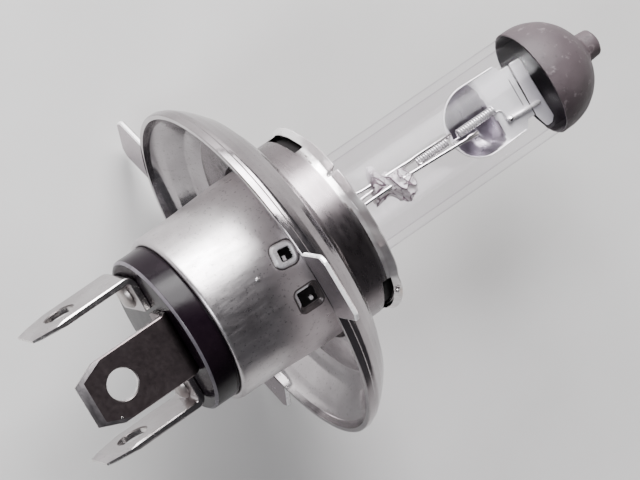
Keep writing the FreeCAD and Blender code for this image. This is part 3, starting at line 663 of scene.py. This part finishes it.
def shell_relief(x, phi):
    """Stamped marks on the shell: change of radius, and which finish shows there; the darker
    finishes are painted shade, the bright one a painted highlight.
    """
    plain, dark, shade_line, highlight_tone = range(4)
    r = shell_radius(x)
    rise, finish = 0.0, plain
    # raised pad, a little turned, with a square hole and a chip inside it; the pad top and chip
    # carry a painted highlight, the pad outline and the hole a painted shade
    u, v = x - PAD_X, r * (phi - PAD_ANGLE)
    cos, sin = math.cos(PAD_TILT), math.sin(PAD_TILT)
    u, v = u * cos - v * sin, u * sin + v * cos
    pad = rounded_square(u, v, PAD_HALF, PAD_CORNER)
    rise += PAD_RISE * smooth((0.10 - pad) / 0.34)
    rise -= 0.07 * smooth((0.16 - abs(pad - 0.20)) / 0.16)
    if 0.10 < pad < 0.26:
        finish = shade_line
    if pad < 0.02:
        finish = highlight_tone
    hole = rounded_square(u - 0.10, v + 0.02, HOLE_HALF, HOLE_CORNER)
    rise -= HOLE_DEPTH * smooth((0.08 - hole) / 0.14)
    if hole < 0.0:
        finish = dark
        if max(abs(u + 0.18) - 0.22, abs(v + 0.38) - 0.30) < 0:
            rise += 0.5
            finish = highlight_tone
    # sunken square with a dot at its bottom; two walls and the dot carry a painted highlight, the
    # outline, other walls and floor a painted shade
    u, v = x - SUNK_X, r * (phi - SUNK_ANGLE)
    sunk = rounded_square(u, v, SUNK_HALF, SUNK_CORNER)
    rise -= SUNK_DEPTH * smooth((0.10 - sunk) / 0.34)
    rise -= 0.12 * smooth((-0.34 - sunk) / 0.20)
    if 0.02 < sunk < 0.24:
        finish = shade_line
    if -0.42 < sunk <= 0.02:
        finish = highlight_tone if v - u > 0.55 else shade_line
    elif sunk <= -0.42:
        finish = dark
        if math.hypot(u - 0.28, v + 0.30) < 0.26:
            rise += 0.3
            finish = highlight_tone
    # small raised dot behind the pad
    dot = math.hypot(x - DOT_X, r * (phi - DOT_ANGLE))
    rise += 0.10 * smooth((DOT_R - dot) / 0.16)
    return rise, finish


def spaced(stops):
    """Values from (start, end, count) runs, without repeats."""
    out = []
    for start, end, count in stops:
        out.extend(start + (end - start) * i / count for i in range(count))
    out.append(stops[-1][1])
    return out


def wrap(phi):
    """The same angle between -pi and pi."""
    return phi if phi < math.pi else phi - 2 * math.pi


def make_shell():
    """Round shell; its mesh is fine where the stamps are."""
    fine = 1.4
    phis = [math.radians(a) for a in
            spaced([(-26.0, 24.0, int(190 * fine)), (24.0, 334.0, 155)])[:-1]]
    xs = spaced([(-9.55, -4.0, 14), (-4.0, -1.4, int(34 * fine)),
                 (-1.4, 2.8, int(66 * fine)), (2.8, 9.55, 12)])
    outer = [(x, shell_radius(x)) for x in xs]
    rear_roll = [(-10.05, 10.20), (-10.02, 10.45), (-9.88, 10.64), (-9.72, 10.72)]
    inner = [(9.6, 11.0), (9.6, 10.5), (2.0, 10.45), (-6.0, 10.15), (-9.4, 10.15),
             (-9.75, 10.02), (-10.0, 10.02)]
    profile = rear_roll + outer + inner
    n = len(profile)
    stamped = range(len(rear_roll), len(rear_roll) + len(outer))

    def mark(x, r, phi, k):
        """Stamps and a slight waviness, on the outer wall only."""
        if k in stamped:
            r += shell_relief(x, wrap(phi))[0]
            r += 0.02 * noise.noise(Vector((x * 0.35, 3 * math.sin(phi), 3 * math.cos(phi))))
        return x, r

    verts, faces = lathe(profile, phis, mark)
    # Finishes past the plain one are painted shade and painted highlight.
    finishes = []
    for face in faces:
        i, k = divmod(face[0], n)
        finishes.append(shell_relief(profile[k][0], wrap(phis[i]))[1] if k in stamped else 0)
    piece("shell_with_stamps", verts, faces, [shell_mat, deep_shade_mat, shade_line_mat, highlight_mat],
          "nickel_shell", ["base_shell"], 50, finishes)


make_shell()

# ------ collar

COLLAR_R = 11.6
COLLAR_BORE = 11.1
COLLAR_REAR = 4.85
LIP_FRONT = high("front_collar", X)
LIP_R = 12.27
LIP_START = 9.9
NOTCH_ANGLE = 37.0
LEFT_WINDOW, RIGHT_WINDOW = (62, 98), (36, 90)


def signed(phi):
    """An angle in degrees, between -180 and 180."""
    a = math.degrees(phi) % 360
    return a if a <= 180 else a - 360


def ring_noise(phi, seed, scale):
    """Smooth random value that repeats after one turn."""
    return noise.noise(Vector((scale * math.cos(phi), scale * math.sin(phi), seed)))


def middle(verts, face):
    """Where a face is: x, and its distance from the axis."""
    x = sum(verts[i][0] for i in face) / len(face)
    r = sum(math.hypot(verts[i][1], verts[i][2]) for i in face) / len(face)
    return x, r


def make_collar():
    """Collar with two windows, and an uneven out-turned lip with a notch."""
    strip, lip, shade_line, dark = range(4)
    phis = turns(600)
    wall = rounded([(COLLAR_REAR, 13.75), (5.32, 13.75), (5.32, 12.4), (6.2, COLLAR_R),
                    (8.0, COLLAR_R), (9.2, COLLAR_R)], [0.1, 0.2, 0.5, 0.5, 0, 0], 5,
                   closed=False)
    wall += [(9.2 + 0.2 * i, COLLAR_R) for i in range(1, 5)]
    wall += rounded([(10.0, COLLAR_R), (10.45, 11.66), (11.15, 12.15)], [0, 0.5, 0], 5,
                    closed=False)[1:]
    wall += [(11.22, 12.2), (11.36, 12.17), (11.42, 12.05)]
    back = rounded([(11.3, 11.7), (10.8, 11.2), (10.0, COLLAR_BORE), (9.2, COLLAR_BORE),
                    (6.0, COLLAR_BORE), (COLLAR_REAR, COLLAR_BORE)], [0, 0.4, 0.3, 0, 0, 0], 4,
                   closed=False)
    profile = wall + back

    def formed(x, r, phi, k):
        """Waves of the lip, its notch, and a dip over each window."""
        a = signed(phi)
        if x > LIP_START:
            lift = smooth((x - LIP_START) / 1.2)
            wave = 0.55 * ring_noise(phi, 2.0, 3.0) + 0.22 * ring_noise(phi, 6.0, 8.0)
            x -= 0.35 * wave * lift * (1 if x > 10.4 else 0.4)
            cut = smooth((1.6 - abs(a - NOTCH_ANGLE)) / 1.2)
            r -= (0.45 * cut + 0.07 * ring_noise(phi, 9.0, 7.0)) * lift
            x -= 0.5 * cut * lift
            open_lip = smooth((16.0 - abs(abs(a) - 82.0)) / 8.0)
            x -= 0.10 * open_lip * lift
        return min(x, LIP_FRONT), min(r, LIP_R)

    verts, faces = lathe(profile, phis, formed)
    plain = lathe(profile, phis)[0]
    keep, tones = [], []
    for face in faces:
        x, r = middle(plain, face)
        phi = math.atan2(plain[face[0]][1], plain[face[0]][2])
        a = signed(phi)
        first, last = LEFT_WINDOW if a > 0 else RIGHT_WINDOW
        if 9.05 < x < 10.5 and first < abs(a) < last and 11.0 < r < 11.9:
            continue
        keep.append(face)
        # Lip band in painted highlight, a painted shade line behind it, and the inner faces near
        # the windows in painted shade.
        start = 10.05 + 0.28 * ring_noise(phi, 4.0, 2.5)
        start -= 0.45 * smooth((26.0 - abs(a - 34.0)) / 14.0)
        if r < 11.25 and x < 10.9:
            tones.append(dark)
        else:
            tones.append(lip if x > start else (shade_line if x > start - 0.10 else strip))
    inner = lathe(rounded([(11.05, 11.75), (11.2, 10.2), (10.95, 10.2), (10.8, 11.3)],
                          [0.05, 0.1, 0.1, 0.05], 3), turns(240))
    # The sleeve behind the windows is a dark painted shade; the dot takes the lip's painted
    # highlight.
    sleeve = lathe([(8.8, 11.02), (10.85, 11.02), (10.85, 10.88), (8.8, 10.88)], turns(180))
    dot = lump(polar(10.75, 12.12, math.radians(-47)), (0.30, 0.26, 0.24), 5.0, 0.3)
    tones += [strip] * len(inner[1]) + [dark] * len(sleeve[1]) + [lip] * len(dot[1])
    piece("collar_with_lip", *join((verts, keep), inner, sleeve, dot),
          [collar_mat, lip_highlight_mat, shade_line_mat, deep_shade_mat], "collar_metal", ["front_collar"], 45,
          tones)


make_collar()

# ------ disc

DISC_REAR = low("insulator_disc", X)
DISC_R = high("insulator_disc", Y)
DISC_CORNER = 0.3


def make_disc():
    """Moulded disc with a painted highlight line round its rear edge, and its plug."""
    step_x, plug_x, plug_r = -10.0, -7.0, 8.6
    profile = rounded([(DISC_REAR, 0.01), (DISC_REAR, DISC_R - DISC_CORNER),
                       (DISC_REAR + DISC_CORNER, DISC_R), (step_x, DISC_R),
                       (step_x, plug_r), (plug_x, plug_r), (plug_x, 0.01)],
                      [0, 0.15, 0.15, 0.05, 0.05, 0.1, 0], 4)
    verts, faces = lathe(profile, turns(180), closed_profile=False)
    rim = []
    for face in faces:
        x, r = middle(verts, face)
        on_highlight_rim = x < DISC_REAR + 0.32 and DISC_R - DISC_CORNER < r < DISC_R - 0.01
        rim.append(1 if on_highlight_rim else 0)
    piece("disc_moulding", verts, faces, [disc_mat, disc_rim_highlight_mat], "insulator",
          ["insulator_disc"], 40, rim)


make_disc()

# ------ terminals

BLADE_TIP = low("terminal_top", X)
BLADE_HALF = high("terminal_top", Y)
TOP_FACE = high("terminal_top", Z)
FOOT = TOP_FACE - low("terminal_top", Z)
SIDE_FACE = high("terminal_left", Y)
SIDE_DROP = BLADE_HALF - high("terminal_left", Z)
BLADE_THICK = 0.8
BLADE_TAPER = 3.0
BLADE_POINT = 1.25
BLADE_CORNER = 0.12
BEND_R = 0.45
HOLE_X, HOLE_R, HOLE_ROLL = -21.95, 1.85, 0.13


def make_terminal(name, placed, face_mat):
    """Blade with coined tip, its bend and its foot; placed maps (x, height, width)."""
    flat, edge_highlight, bevel, hole_shade = range(4)
    thick, half = BLADE_THICK, BLADE_HALF
    bend = BEND_R + thick
    straight_end = DISC_REAR - bend
    outline = [(straight_end, -half), (BLADE_TIP + BLADE_TAPER, -half),
               (BLADE_TIP, BLADE_POINT - half), (BLADE_TIP, half - BLADE_POINT),
               (BLADE_TIP + BLADE_TAPER, half), (straight_end, half)]
    n = len(outline)
    inner = offset_outline(outline, [0.12, 0.50, 1.05, 0.50, 0.12, 0.0])
    drops = [0.10, 0.22, 0.26, 0.26, 0.22, 0.10]
    verts = [(x, d, w) for x, w, d in rolled(outline, inner, thick, drops)]
    faces, mats = [], []
    # Rolled edges take a painted highlight.
    for k in range(3):
        for i in range(n - 1):
            faces.append((k * n + i, k * n + i + 1, (k + 1) * n + i + 1, (k + 1) * n + i))
            mats.append(edge_highlight if k == 1 else (bevel if 1 <= i <= 3 else flat))
    # hole with rolled edges
    m = 64
    base = len(verts)
    circle = [(math.cos(a), math.sin(a)) for a in turns(m)]
    mouth = HOLE_R + HOLE_ROLL
    for r, d in ((mouth, 0.0), (HOLE_R, HOLE_ROLL), (HOLE_R, thick - HOLE_ROLL),
                 (mouth, thick)):
        verts.extend((HOLE_X + r * a, d, r * b) for a, b in circle)
    faces += ring_faces(base, 3, m)
    # Hole mouths in painted shade, the hole wall in painted highlight.
    mats += [hole_shade] * m + [edge_highlight] * m + [hole_shade] * m
    cap = [[Vector((x, w, 0)) for x, w in inner],
           [Vector((HOLE_X + mouth * a, mouth * b, 0)) for a, b in circle]]
    face = list(range(n)) + [base + i for i in range(m)]
    under = [3 * n + i for i in range(n)] + [base + 3 * m + i for i in range(m)]
    for a, b, c in geometry.tessellate_polygon(cap):
        faces.append((face[a], face[b], face[c]))
        faces.append((under[a], under[c], under[b]))
        mats += [flat, flat]
    # bend and foot: an eight-cornered section swept round the bend and down
    inset = half - BLADE_CORNER
    section = [(0.0, -inset), (0.10, -half), (thick - 0.10, -half), (thick, -inset),
               (thick, inset), (thick - 0.10, half), (0.10, half), (0.0, inset)]
    start = len(verts)
    for k in range(11):
        a = math.pi / 2 * k / 10
        verts.extend((straight_end + (bend - d) * math.sin(a), bend - (bend - d) * math.cos(a), w)
                     for d, w in section)
    leg = FOOT - bend
    for s, narrow in ((0.4, 0.0), (leg - 0.5, 0.0), (leg - 0.1, 0.12), (leg, 0.5)):
        verts.extend((straight_end + bend - d, bend + s, w * (1 - narrow / half))
                     for d, w in section)
    c = len(section)
    rows = (len(verts) - start) // c - 1
    faces += ring_faces(start, rows, c)
    # Bend edges take a painted highlight.
    mats += [edge_highlight if k in (1, 5) else flat for k in range(c)] * rows
    faces.append(tuple(start + rows * c + k for k in range(c)))
    mats.append(flat)
    # Small dot in painted highlight.
    mark = lump((-23.96, 0.02, -3.15), (0.17, 0.06, 0.17), 1.0, 0.2)
    mats += [edge_highlight] * len(mark[1])
    verts, faces = join((verts, faces), mark)
    verts = [placed(x, d, w) for x, d, w in verts]
    piece(name, verts, faces, [face_mat, edge_highlight_mat, bevel_mat, shade_line_mat], "terminal_metal",
          [name.replace("blade", "terminal")], 28, mats)


# Top blade in the darker painted shade copy, side blades in the lighter copy.
make_terminal("blade_top", lambda x, d, w: (x, w, TOP_FACE - d), top_blade_shaded_mat)
make_terminal("blade_left", lambda x, d, w: (x, SIDE_FACE - d, w - SIDE_DROP), side_blade_lit_mat)
make_terminal("blade_right", lambda x, d, w: (x, d - SIDE_FACE, w - SIDE_DROP), side_blade_lit_mat)

# ------ glare coat

GLASS_END = 40.5
COAT_R = high("glare_cap", Y)
COAT_BORE = 6.46
COAT_START = 39.62


def arc(radius, start, end, steps):
    """Points of an arc round the end of the straight glass, by angle in degrees."""
    angles = [math.radians(start + (end - start) * i / steps) for i in range(steps + 1)]
    return [(GLASS_END + radius * math.cos(a), radius * math.sin(a)) for a in angles]


def make_coat():
    """Glare coat over the dome and tip, with a slightly ragged edge."""
    dome = arc(COAT_R, 86, 19.5, 40)
    tip = rounded([dome[-1], (47.1, 1.80), (48.75, 1.66), (49.15, 0.9), (49.05, 0.01)],
                  [0, 0.4, 0.5, 0.35, 0], 6, closed=False)[1:]
    outer = [(COAT_START, 6.55), (39.66, 6.68), (39.8, 6.72)] + dome + tip
    inner = [(48.7, 0.01), (48.6, 1.1), (46.9, 1.35)]
    inner += arc(COAT_BORE, 14, 90, 24) + [(39.66, COAT_BORE)]

    def ragged(x, r, phi, k):
        """Uneven edge, and faint lumps on the outside."""
        if x < GLASS_END + 0.1:
            q = Vector((2.2 * math.cos(phi), 2.2 * math.sin(phi), 4.0))
            x += 0.10 * noise.noise(q) + 0.05 * noise.noise(q * 5)
        if r > 2.2 and k < len(outer):
            q = Vector((x * 0.8, r * math.sin(phi) * 0.8, r * math.cos(phi) * 0.8))
            r += 0.035 * noise.noise(q)
        return x, r

    verts, faces = lathe(outer + inner, turns(360), ragged)
    n = len(outer) + len(inner)
    tones = [0 if face[0] % n < len(outer) else 1 for face in faces]
    piece("glare_coat", verts, faces, [coat_mat, coat_inside_mat], "glare_coat",
          ["glare_cap"], 50, tones)


make_coat()

# ------ beam shield

SPOON_REAR = low("beam_shield", X)
SPOON_WIDE = 31.9     # where the spoon reaches its full width
BOWL_END = 34.3       # where the bowl has risen to the flat front
NECK_START = 36.5
SPOON_FRONT = 38.22
SPOON_HALF = 4.4
BOWL_DEPTH = 3.1
SPOON_SKIN = 0.28


def make_shield():
    """Drawn spoon, its flat front with narrowed neck, and the cross tab, coloured in painted
    light: lit pale faces and tab, a painted shade in the bowl, at the neck and along the fold,
    and a painted highlight round the edge.
    """
    pale, bowl, tab_tone, fold, highlight_tone = range(5)

    def width(x):
        """Half width: an ellipse at the rear, then straight, then the neck."""
        if x < SPOON_WIDE:
            t = (SPOON_WIDE - x) / (SPOON_WIDE - SPOON_REAR)
            return SPOON_HALF * math.sqrt(max(0.0, 1 - t * t))
        if x < NECK_START:
            return SPOON_HALF - 0.12 * smooth((x - SPOON_WIDE) / (NECK_START - SPOON_WIDE))
        return SPOON_HALF - 0.12 - 0.98 * smooth((x - NECK_START) / 0.75)

    def depth(x, y, w):
        """How far the bowl goes down at a place."""
        fall = smooth((x - SPOON_REAR) / 3.4) ** 0.8
        climb = 1 - smooth((x - 31.6 + 0.10 * y) / (BOWL_END - 31.6))
        t = min(1.0, abs(y) / max(w, 0.01))
        return BOWL_DEPTH * min(fall, climb) * (1 - t ** 3.2) ** 0.75

    cols, rows = 48, 72
    first = SPOON_REAR + 0.02
    top = []
    for i in range(rows + 1):
        x = first + (SPOON_FRONT - first) * (i / rows) ** 1.25
        w = width(x)
        for j in range(cols + 1):
            y = w * math.sin(math.pi / 2 * (2 * j / cols - 1))
            dent = 0.03 * noise.noise(Vector((x * 0.7, y * 0.7, 3.0)))
            top.append((x, y, dent - depth(x, y, w)))
    verts = top + [(x, y, z - SPOON_SKIN) for x, y, z in top]
    base = len(top)
    row = cols + 1
    faces, tones = [], []
    for i in range(rows):
        for j in range(cols):
            a = i * row + j
            b = base + a
            # Shallow faces take the lit pale tone; deeper faces and the underside take the
            # painted shade of the bowl.
            shallow = -top[a][2] < 0.35 or j in (0, cols - 1) or i == 0
            faces += [(a, a + 1, a + row + 1, a + row), (b, b + row, b + row + 1, b + 1)]
            tones += [pale if shallow else bowl, bowl]
    rim = [(i * row + j, (i + 1) * row + j) for i in range(rows) for j in (0, cols)]
    rim += [(i * row + j, i * row + j + 1) for i in (0, rows) for j in range(cols)]
    faces += [(a, b, base + b, base + a) for a, b in rim]
    tones += [pale] * len(rim)
    tab, tab_faces = plate(rounded([(38.50, 3.45), (39.86, 3.38), (40.08, -4.55),
                                    (39.55, -5.15), (38.85, -5.15), (38.35, -3.6)],
                                   [0.12, 0.15, 0.25, 0.25, 0.2, 0.2], 4), 0.30, 0.06, 0.05)
    tab = [(x, y, z - 0.10 + 0.10 * (x - 38.5)) for x, y, z in tab]
    neck, neck_faces = plate(rounded([(38.1, 3.15), (38.7, 3.15), (38.7, -3.5), (38.1, -3.5)],
                                     [0.05] * 4, 2), 0.2, 0.03, 0.03)
    neck = [(x, y, z - 0.36) for x, y, z in neck]
    crease = tube([(37.55, 1.9 - 0.35 * i, 0.0) for i in range(11)], 0.05, 8)
    edge_xs = [first + (NECK_START - 0.1 - SPOON_REAR) * (i / 50) ** 2 for i in range(51)]
    path = [(x, width(x) - 0.05, -0.04) for x in reversed(edge_xs)]
    path += [(x, 0.05 - width(x), -0.04) for x in edge_xs[1:]]
    edge = tube(path, 0.10, 10, flat=(0, 0, 1))
    # Tab in the lit copy, neck and fold line in painted shade, edge wire in painted highlight.
    tones += [tab_tone] * len(tab_faces) + [fold] * (len(neck_faces) + len(crease[1]))
    tones += [highlight_tone] * len(edge[1])
    verts, faces = join((verts, faces), (tab, tab_faces), (neck, neck_faces), crease, edge)
    piece("shield_spoon_and_tab", verts, faces,
          [shield_lit_mat, bowl_shaded_mat, tab_lit_mat, shade_line_mat, highlight_mat], "shield_metal",
          ["beam_shield"], 45, tones)


make_shield()

# ------ filaments, welds

COIL_R = 0.42
COIL_WIRE = 0.148


def make_coil(name, node, start, length, count, phase, tails):
    """Wound filament with its two tails."""
    steps = 22 * count
    path = []
    for i in range(steps + 1):
        a = phase + 2 * math.pi * count * i / steps
        path.append((start + length * i / steps, COIL_R * math.cos(a), COIL_R * math.sin(a)))
    wound = join(tube(path, COIL_WIRE, 10), *[tube(tail, 0.12, 10) for tail in tails])
    piece(name, *wound, [tungsten_mat], "tungsten", [node], 60)


make_coil("driving_coil", "driving_filament", 22.9, 4.5, 14, 0.0,
          [[(22.1, COIL_R, 0), (22.5, COIL_R, 0), (22.92, COIL_R, 0)],
           [(27.38, COIL_R, 0), (27.7, 0.46, 0.05), (27.95, 0.50, 0.1)]])
make_coil("dipped_coil", "dipped_filament", 28.9, 5.2, 16, math.pi,
          [[(28.1, -0.50, 0.95), (28.1, -0.46, 0.5), (28.1, -COIL_R, 0), (28.5, -COIL_R, 0),
            (28.92, -COIL_R, 0)],
           [(34.08, -COIL_R, 0), (34.6, -0.46, 0.0), (34.9, -0.7, 0.05), (34.95, -1.2, 0.15),
            (34.95, -1.9, 0.25)]])


def make_leads():
    """Inner leads: round out of the bead, pressed flat where they are welded."""
    flat = (0, 1, 0.25)
    common = tube([(6.2, 3.5, 0), (9.5, 3.0, 0), (12.4, 1.35, 0.05), (15.4, 0.90, 0.15),
                   (18.0, 0.82, 0.25), (22.5, 0.66, 0.30), (22.9, 0.64, 0.30),
                   (28.0, 0.50, 0.20), (28.15, 0.50, 0.20)],
                  [0.24] * 6 + [(0.27, 0.13), (0.27, 0.13), (0.2, 0.1)], 16, flat=flat)
    dipped = tube([(6.2, -3.5, 0), (9.5, -3.0, 0), (12.4, -0.62, 0.50), (15.4, -0.42, 0.85),
                   (20.8, -0.40, 0.92), (25.0, -0.62, 0.98), (29.2, -0.86, 1.05),
                   (29.5, -0.88, 1.05), (30.7, -0.98, 1.05), (30.8, -0.99, 1.05)],
                  [0.22] * 7 + [(0.34, 0.15), (0.34, 0.15), (0.25, 0.10)], 16, flat=flat)
    driving = tube([(6.2, 0, 0), (12.4, 0.05, 0), (15.4, 0.15, 0.1), (19.5, 0.35, 0.05),
                    (22.2, 0.50, 0.0), (22.4, 0.52, 0.0)], 0.21, 14)
    # The post rod carries a painted highlight.
    post = tube([(35.0, -1.95, 0.22), (35.1, -1.95, 0.24), (39.3, -2.25, 0.30),
                 (39.45, -2.27, 0.30)], [0.18, 0.27, 0.27, 0.18], 16)
    for name, node, mat, wire in (("lead_common", "common_lead", lead_mat, common),
                                  ("lead_dipped", "dipped_lead", lead_mat, dipped),
                                  ("lead_driving", "driving_lead", lead_mat, driving),
                                  ("post_rod", "shield_post", highlight_mat, post)):
        piece(name, *wire, [mat], "lead_metal", [node], 50)


make_leads()


def make_welds():
    """Weld spots where the coils, leads and rod meet, as (centre, radii)."""
    spots = [((23.0, -0.30, 0.80), (0.34, 0.26, 0.24)),
             ((25.2, -0.42, 0.90), (0.36, 0.22, 0.2)),
             ((22.5, 0.52, 0.05), (0.30, 0.28, 0.26)),
             ((28.0, -0.62, 0.98), (0.30, 0.26, 0.22)),
             ((35.3, -1.95, 0.35), (0.40, 0.30, 0.26))]
    blobs = [lump(c, r, 3.0 + i, 0.5) for i, (c, r) in enumerate(spots)]
    piece("weld_spots", *join(*blobs), [lead_mat], "lead_metal", [], 60)


make_welds()

# ------ glass bead

BEAD_REAR, BEAD_FRONT = 16.6, 21.75


def make_bead():
    """Pinched quartz: a striped fan behind, knobs in front."""
    clear, shaded_crease = range(2)
    rows, sides = ((110, 132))
    verts = [(BEAD_REAR + 0.2, 0.6, 0)]
    folds = []
    for i in range(1, rows):
        t = i / rows  # from 0 at the rear to 1 at the front
        x = BEAD_REAR + (BEAD_FRONT - BEAD_REAR) * t
        fan = 1 - smooth((t - 0.04) / 0.42)
        ball = smooth((t - 0.32) / 0.20)
        end = math.sqrt(max(0.0, 1 - max(0.0, (t - 0.60) / 0.40) ** 2.2))
        closing = end * smooth(t / 0.04)
        half_y = (1.20 + 0.90 * fan + 0.92 * ball) * closing
        half_z = (0.80 + 0.15 * fan + 1.20 * ball) * closing
        centre_y = 0.62 - 1.85 * smooth((t - 0.10) / 0.55)
        for a in turns(sides):
            c, d = math.cos(a), math.sin(a)
            p = Vector((x * 0.8, 1.5 * c, 1.5 * d))
            fold = abs(noise.noise(p * 0.95 + Vector((0, 4, 0))))
            crease = abs(noise.noise(p * 1.9 + Vector((3, 0, 1))))
            stripe = 0.10 * math.sin(9 * a + 2.2 * x) * fan
            dip = 0.50 * fold + 0.22 * crease
            k = min(1.10 - dip * (0.30 + 0.70 * ball) + stripe, 1.12)
            push = 0.15 * noise.noise(p * 1.4)
            lean = 0.30 * half_y * k * c * fan
            verts.append((x + (push + lean) * closing, centre_y + half_y * k * c,
                          half_z * k * d))
            # Creases and stripe troughs take the painted shade.
            folded = min(fold, 1.6 * crease) < 0.075 or stripe < -0.06
            folds.append(shaded_crease if folded else clear)
    verts.append((BEAD_FRONT, -1.23, 0))
    tones = []
    for j in range(sides):
        tones += [clear, clear] + folds[j:(rows - 2) * sides:sides]
    piece("bead_lump", verts, ball_faces(rows, sides), [bead_mat, crease_shade_mat], "bead_quartz",
          ["glass_bead"], 30, tones)


make_bead()

# ------ finish for the rest

FINISH = {"glass_envelope": glass_mat, "holder_plate": holder_mat, "pinch_clamp": holder_mat}
for side in ("top", "left", "right"):
    FINISH["rivet_" + side] = rivet_mat
    FINISH["solder_" + side] = solder_mat
    FINISH["outer_lead_" + side] = lead_mat
    FINISH["foil_" + side] = foil_mat
for node, mat in FINISH.items():
    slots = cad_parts[node].data.materials
    if len(slots):
        for i in range(len(slots)):
            slots[i] = mat
    else:
        slots.append(mat)

# ------ stage, light


def make_floor():
    """Pale paper, just under the lowest point of the bulb."""
    size = 2.0
    low_z = min(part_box(name)[0].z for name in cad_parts)
    mesh = bpy.data.meshes.new("floor")
    mesh.from_pydata([(-size, -size, low_z), (size, -size, low_z),
                      (size, size, low_z), (-size, size, low_z)], [], [(0, 1, 2, 3)])
    mat, nt, shader = tree("floor_paper")
    grain = noise_tex(nt, coords(nt), scale=60, rough=0.5)
    nt.links.new(ramp(nt, grain, [(0.3, (0.55, 0.54, 0.535)), (0.7, (0.59, 0.58, 0.575))]),
                 shader.inputs["Base Color"])
    shader.inputs["Roughness"].default_value = 0.9
    mesh.materials.append(mat)
    add("floor", mesh)


make_floor()


AIM = Vector((0.010, 0, 0))


def lamp(name, direction, distance, size, power, colour=(1, 1, 1)):
    """Soft rectangular light in the given direction from the bulb, facing it."""
    light = bpy.data.lights.new(name, "AREA")
    light.shape = "RECTANGLE"
    light.size, light.size_y = size
    light.energy = power
    light.color = colour
    obj = add(name, light)
    away = Vector(direction).normalized()
    obj.location = AIM + away * distance
    obj.rotation_mode = "QUATERNION"
    obj.rotation_quaternion = away.to_track_quat("Z", "Y")


lamp("key_light", (0.27, 0.79, 0.54), distance=0.50, size=(0.30, 0.34), power=7.2)
lamp("side_light", (0.10, 0.93, 0.28), distance=0.50, size=(0.40, 0.24), power=3.0)
lamp("fill_light", (-0.80, 0.10, 0.55), distance=0.60, size=(0.16, 0.34), power=2.0,
     colour=(0.93, 0.96, 1.0))
lamp("rim_light", (0.85, -0.40, 0.50), distance=0.60, size=(0.26, 0.12), power=0.7,
     colour=(1.0, 0.96, 0.92))


def make_world():
    """Studio that the metal mirrors, light on one side."""
    world = bpy.data.worlds.new("studio")
    bpy.context.scene.world = world
    world.use_nodes = True
    nt = world.node_tree
    nt.nodes.clear()
    out = nt.nodes.new("ShaderNodeOutputWorld")
    back = nt.nodes.new("ShaderNodeBackground")
    tex = nt.nodes.new("ShaderNodeTexCoord")
    side = nt.nodes.new("ShaderNodeVectorMath")
    side.operation = "DOT_PRODUCT"
    side.inputs[1].default_value = (0.05, 0.90, 0.10)
    nt.links.new(tex.outputs["Generated"], side.inputs[0])
    colour = ramp(nt, spread(nt, side.outputs["Value"], 0.0, 1.0, -1.0, 1.0),
                  [(0.0, (0.14, 0.14, 0.15)), (0.40, (0.035, 0.033, 0.038)),
                   (0.62, (0.12, 0.12, 0.13)), (1.0, (0.66, 0.66, 0.68))])
    nt.links.new(colour, back.inputs["Color"])
    back.inputs["Strength"].default_value = 0.9
    nt.links.new(back.outputs[0], out.inputs[0])


make_world()

# ------ camera


def make_camera():
    """Long lens that looks down on the bulb as the photograph does."""
    cam = bpy.data.cameras.new("camera")
    cam.sensor_width = 36.0
    cam.lens = 298.0
    cam.clip_start = 0.01
    cam.clip_end = 20.0
    obj = add("camera", cam)
    right = Vector((0.7920, -0.4924, 0.3609)).normalized()
    back = Vector((-0.2748, 0.2404, 0.9310))
    back = (back - right * back.dot(right)).normalized()
    place = Matrix((right, back.cross(right), back)).transposed().to_4x4()
    place.translation = Vector((-157.26, 143.75, 560.89)) * MM
    obj.matrix_world = place
    bpy.context.scene.camera = obj


make_camera()
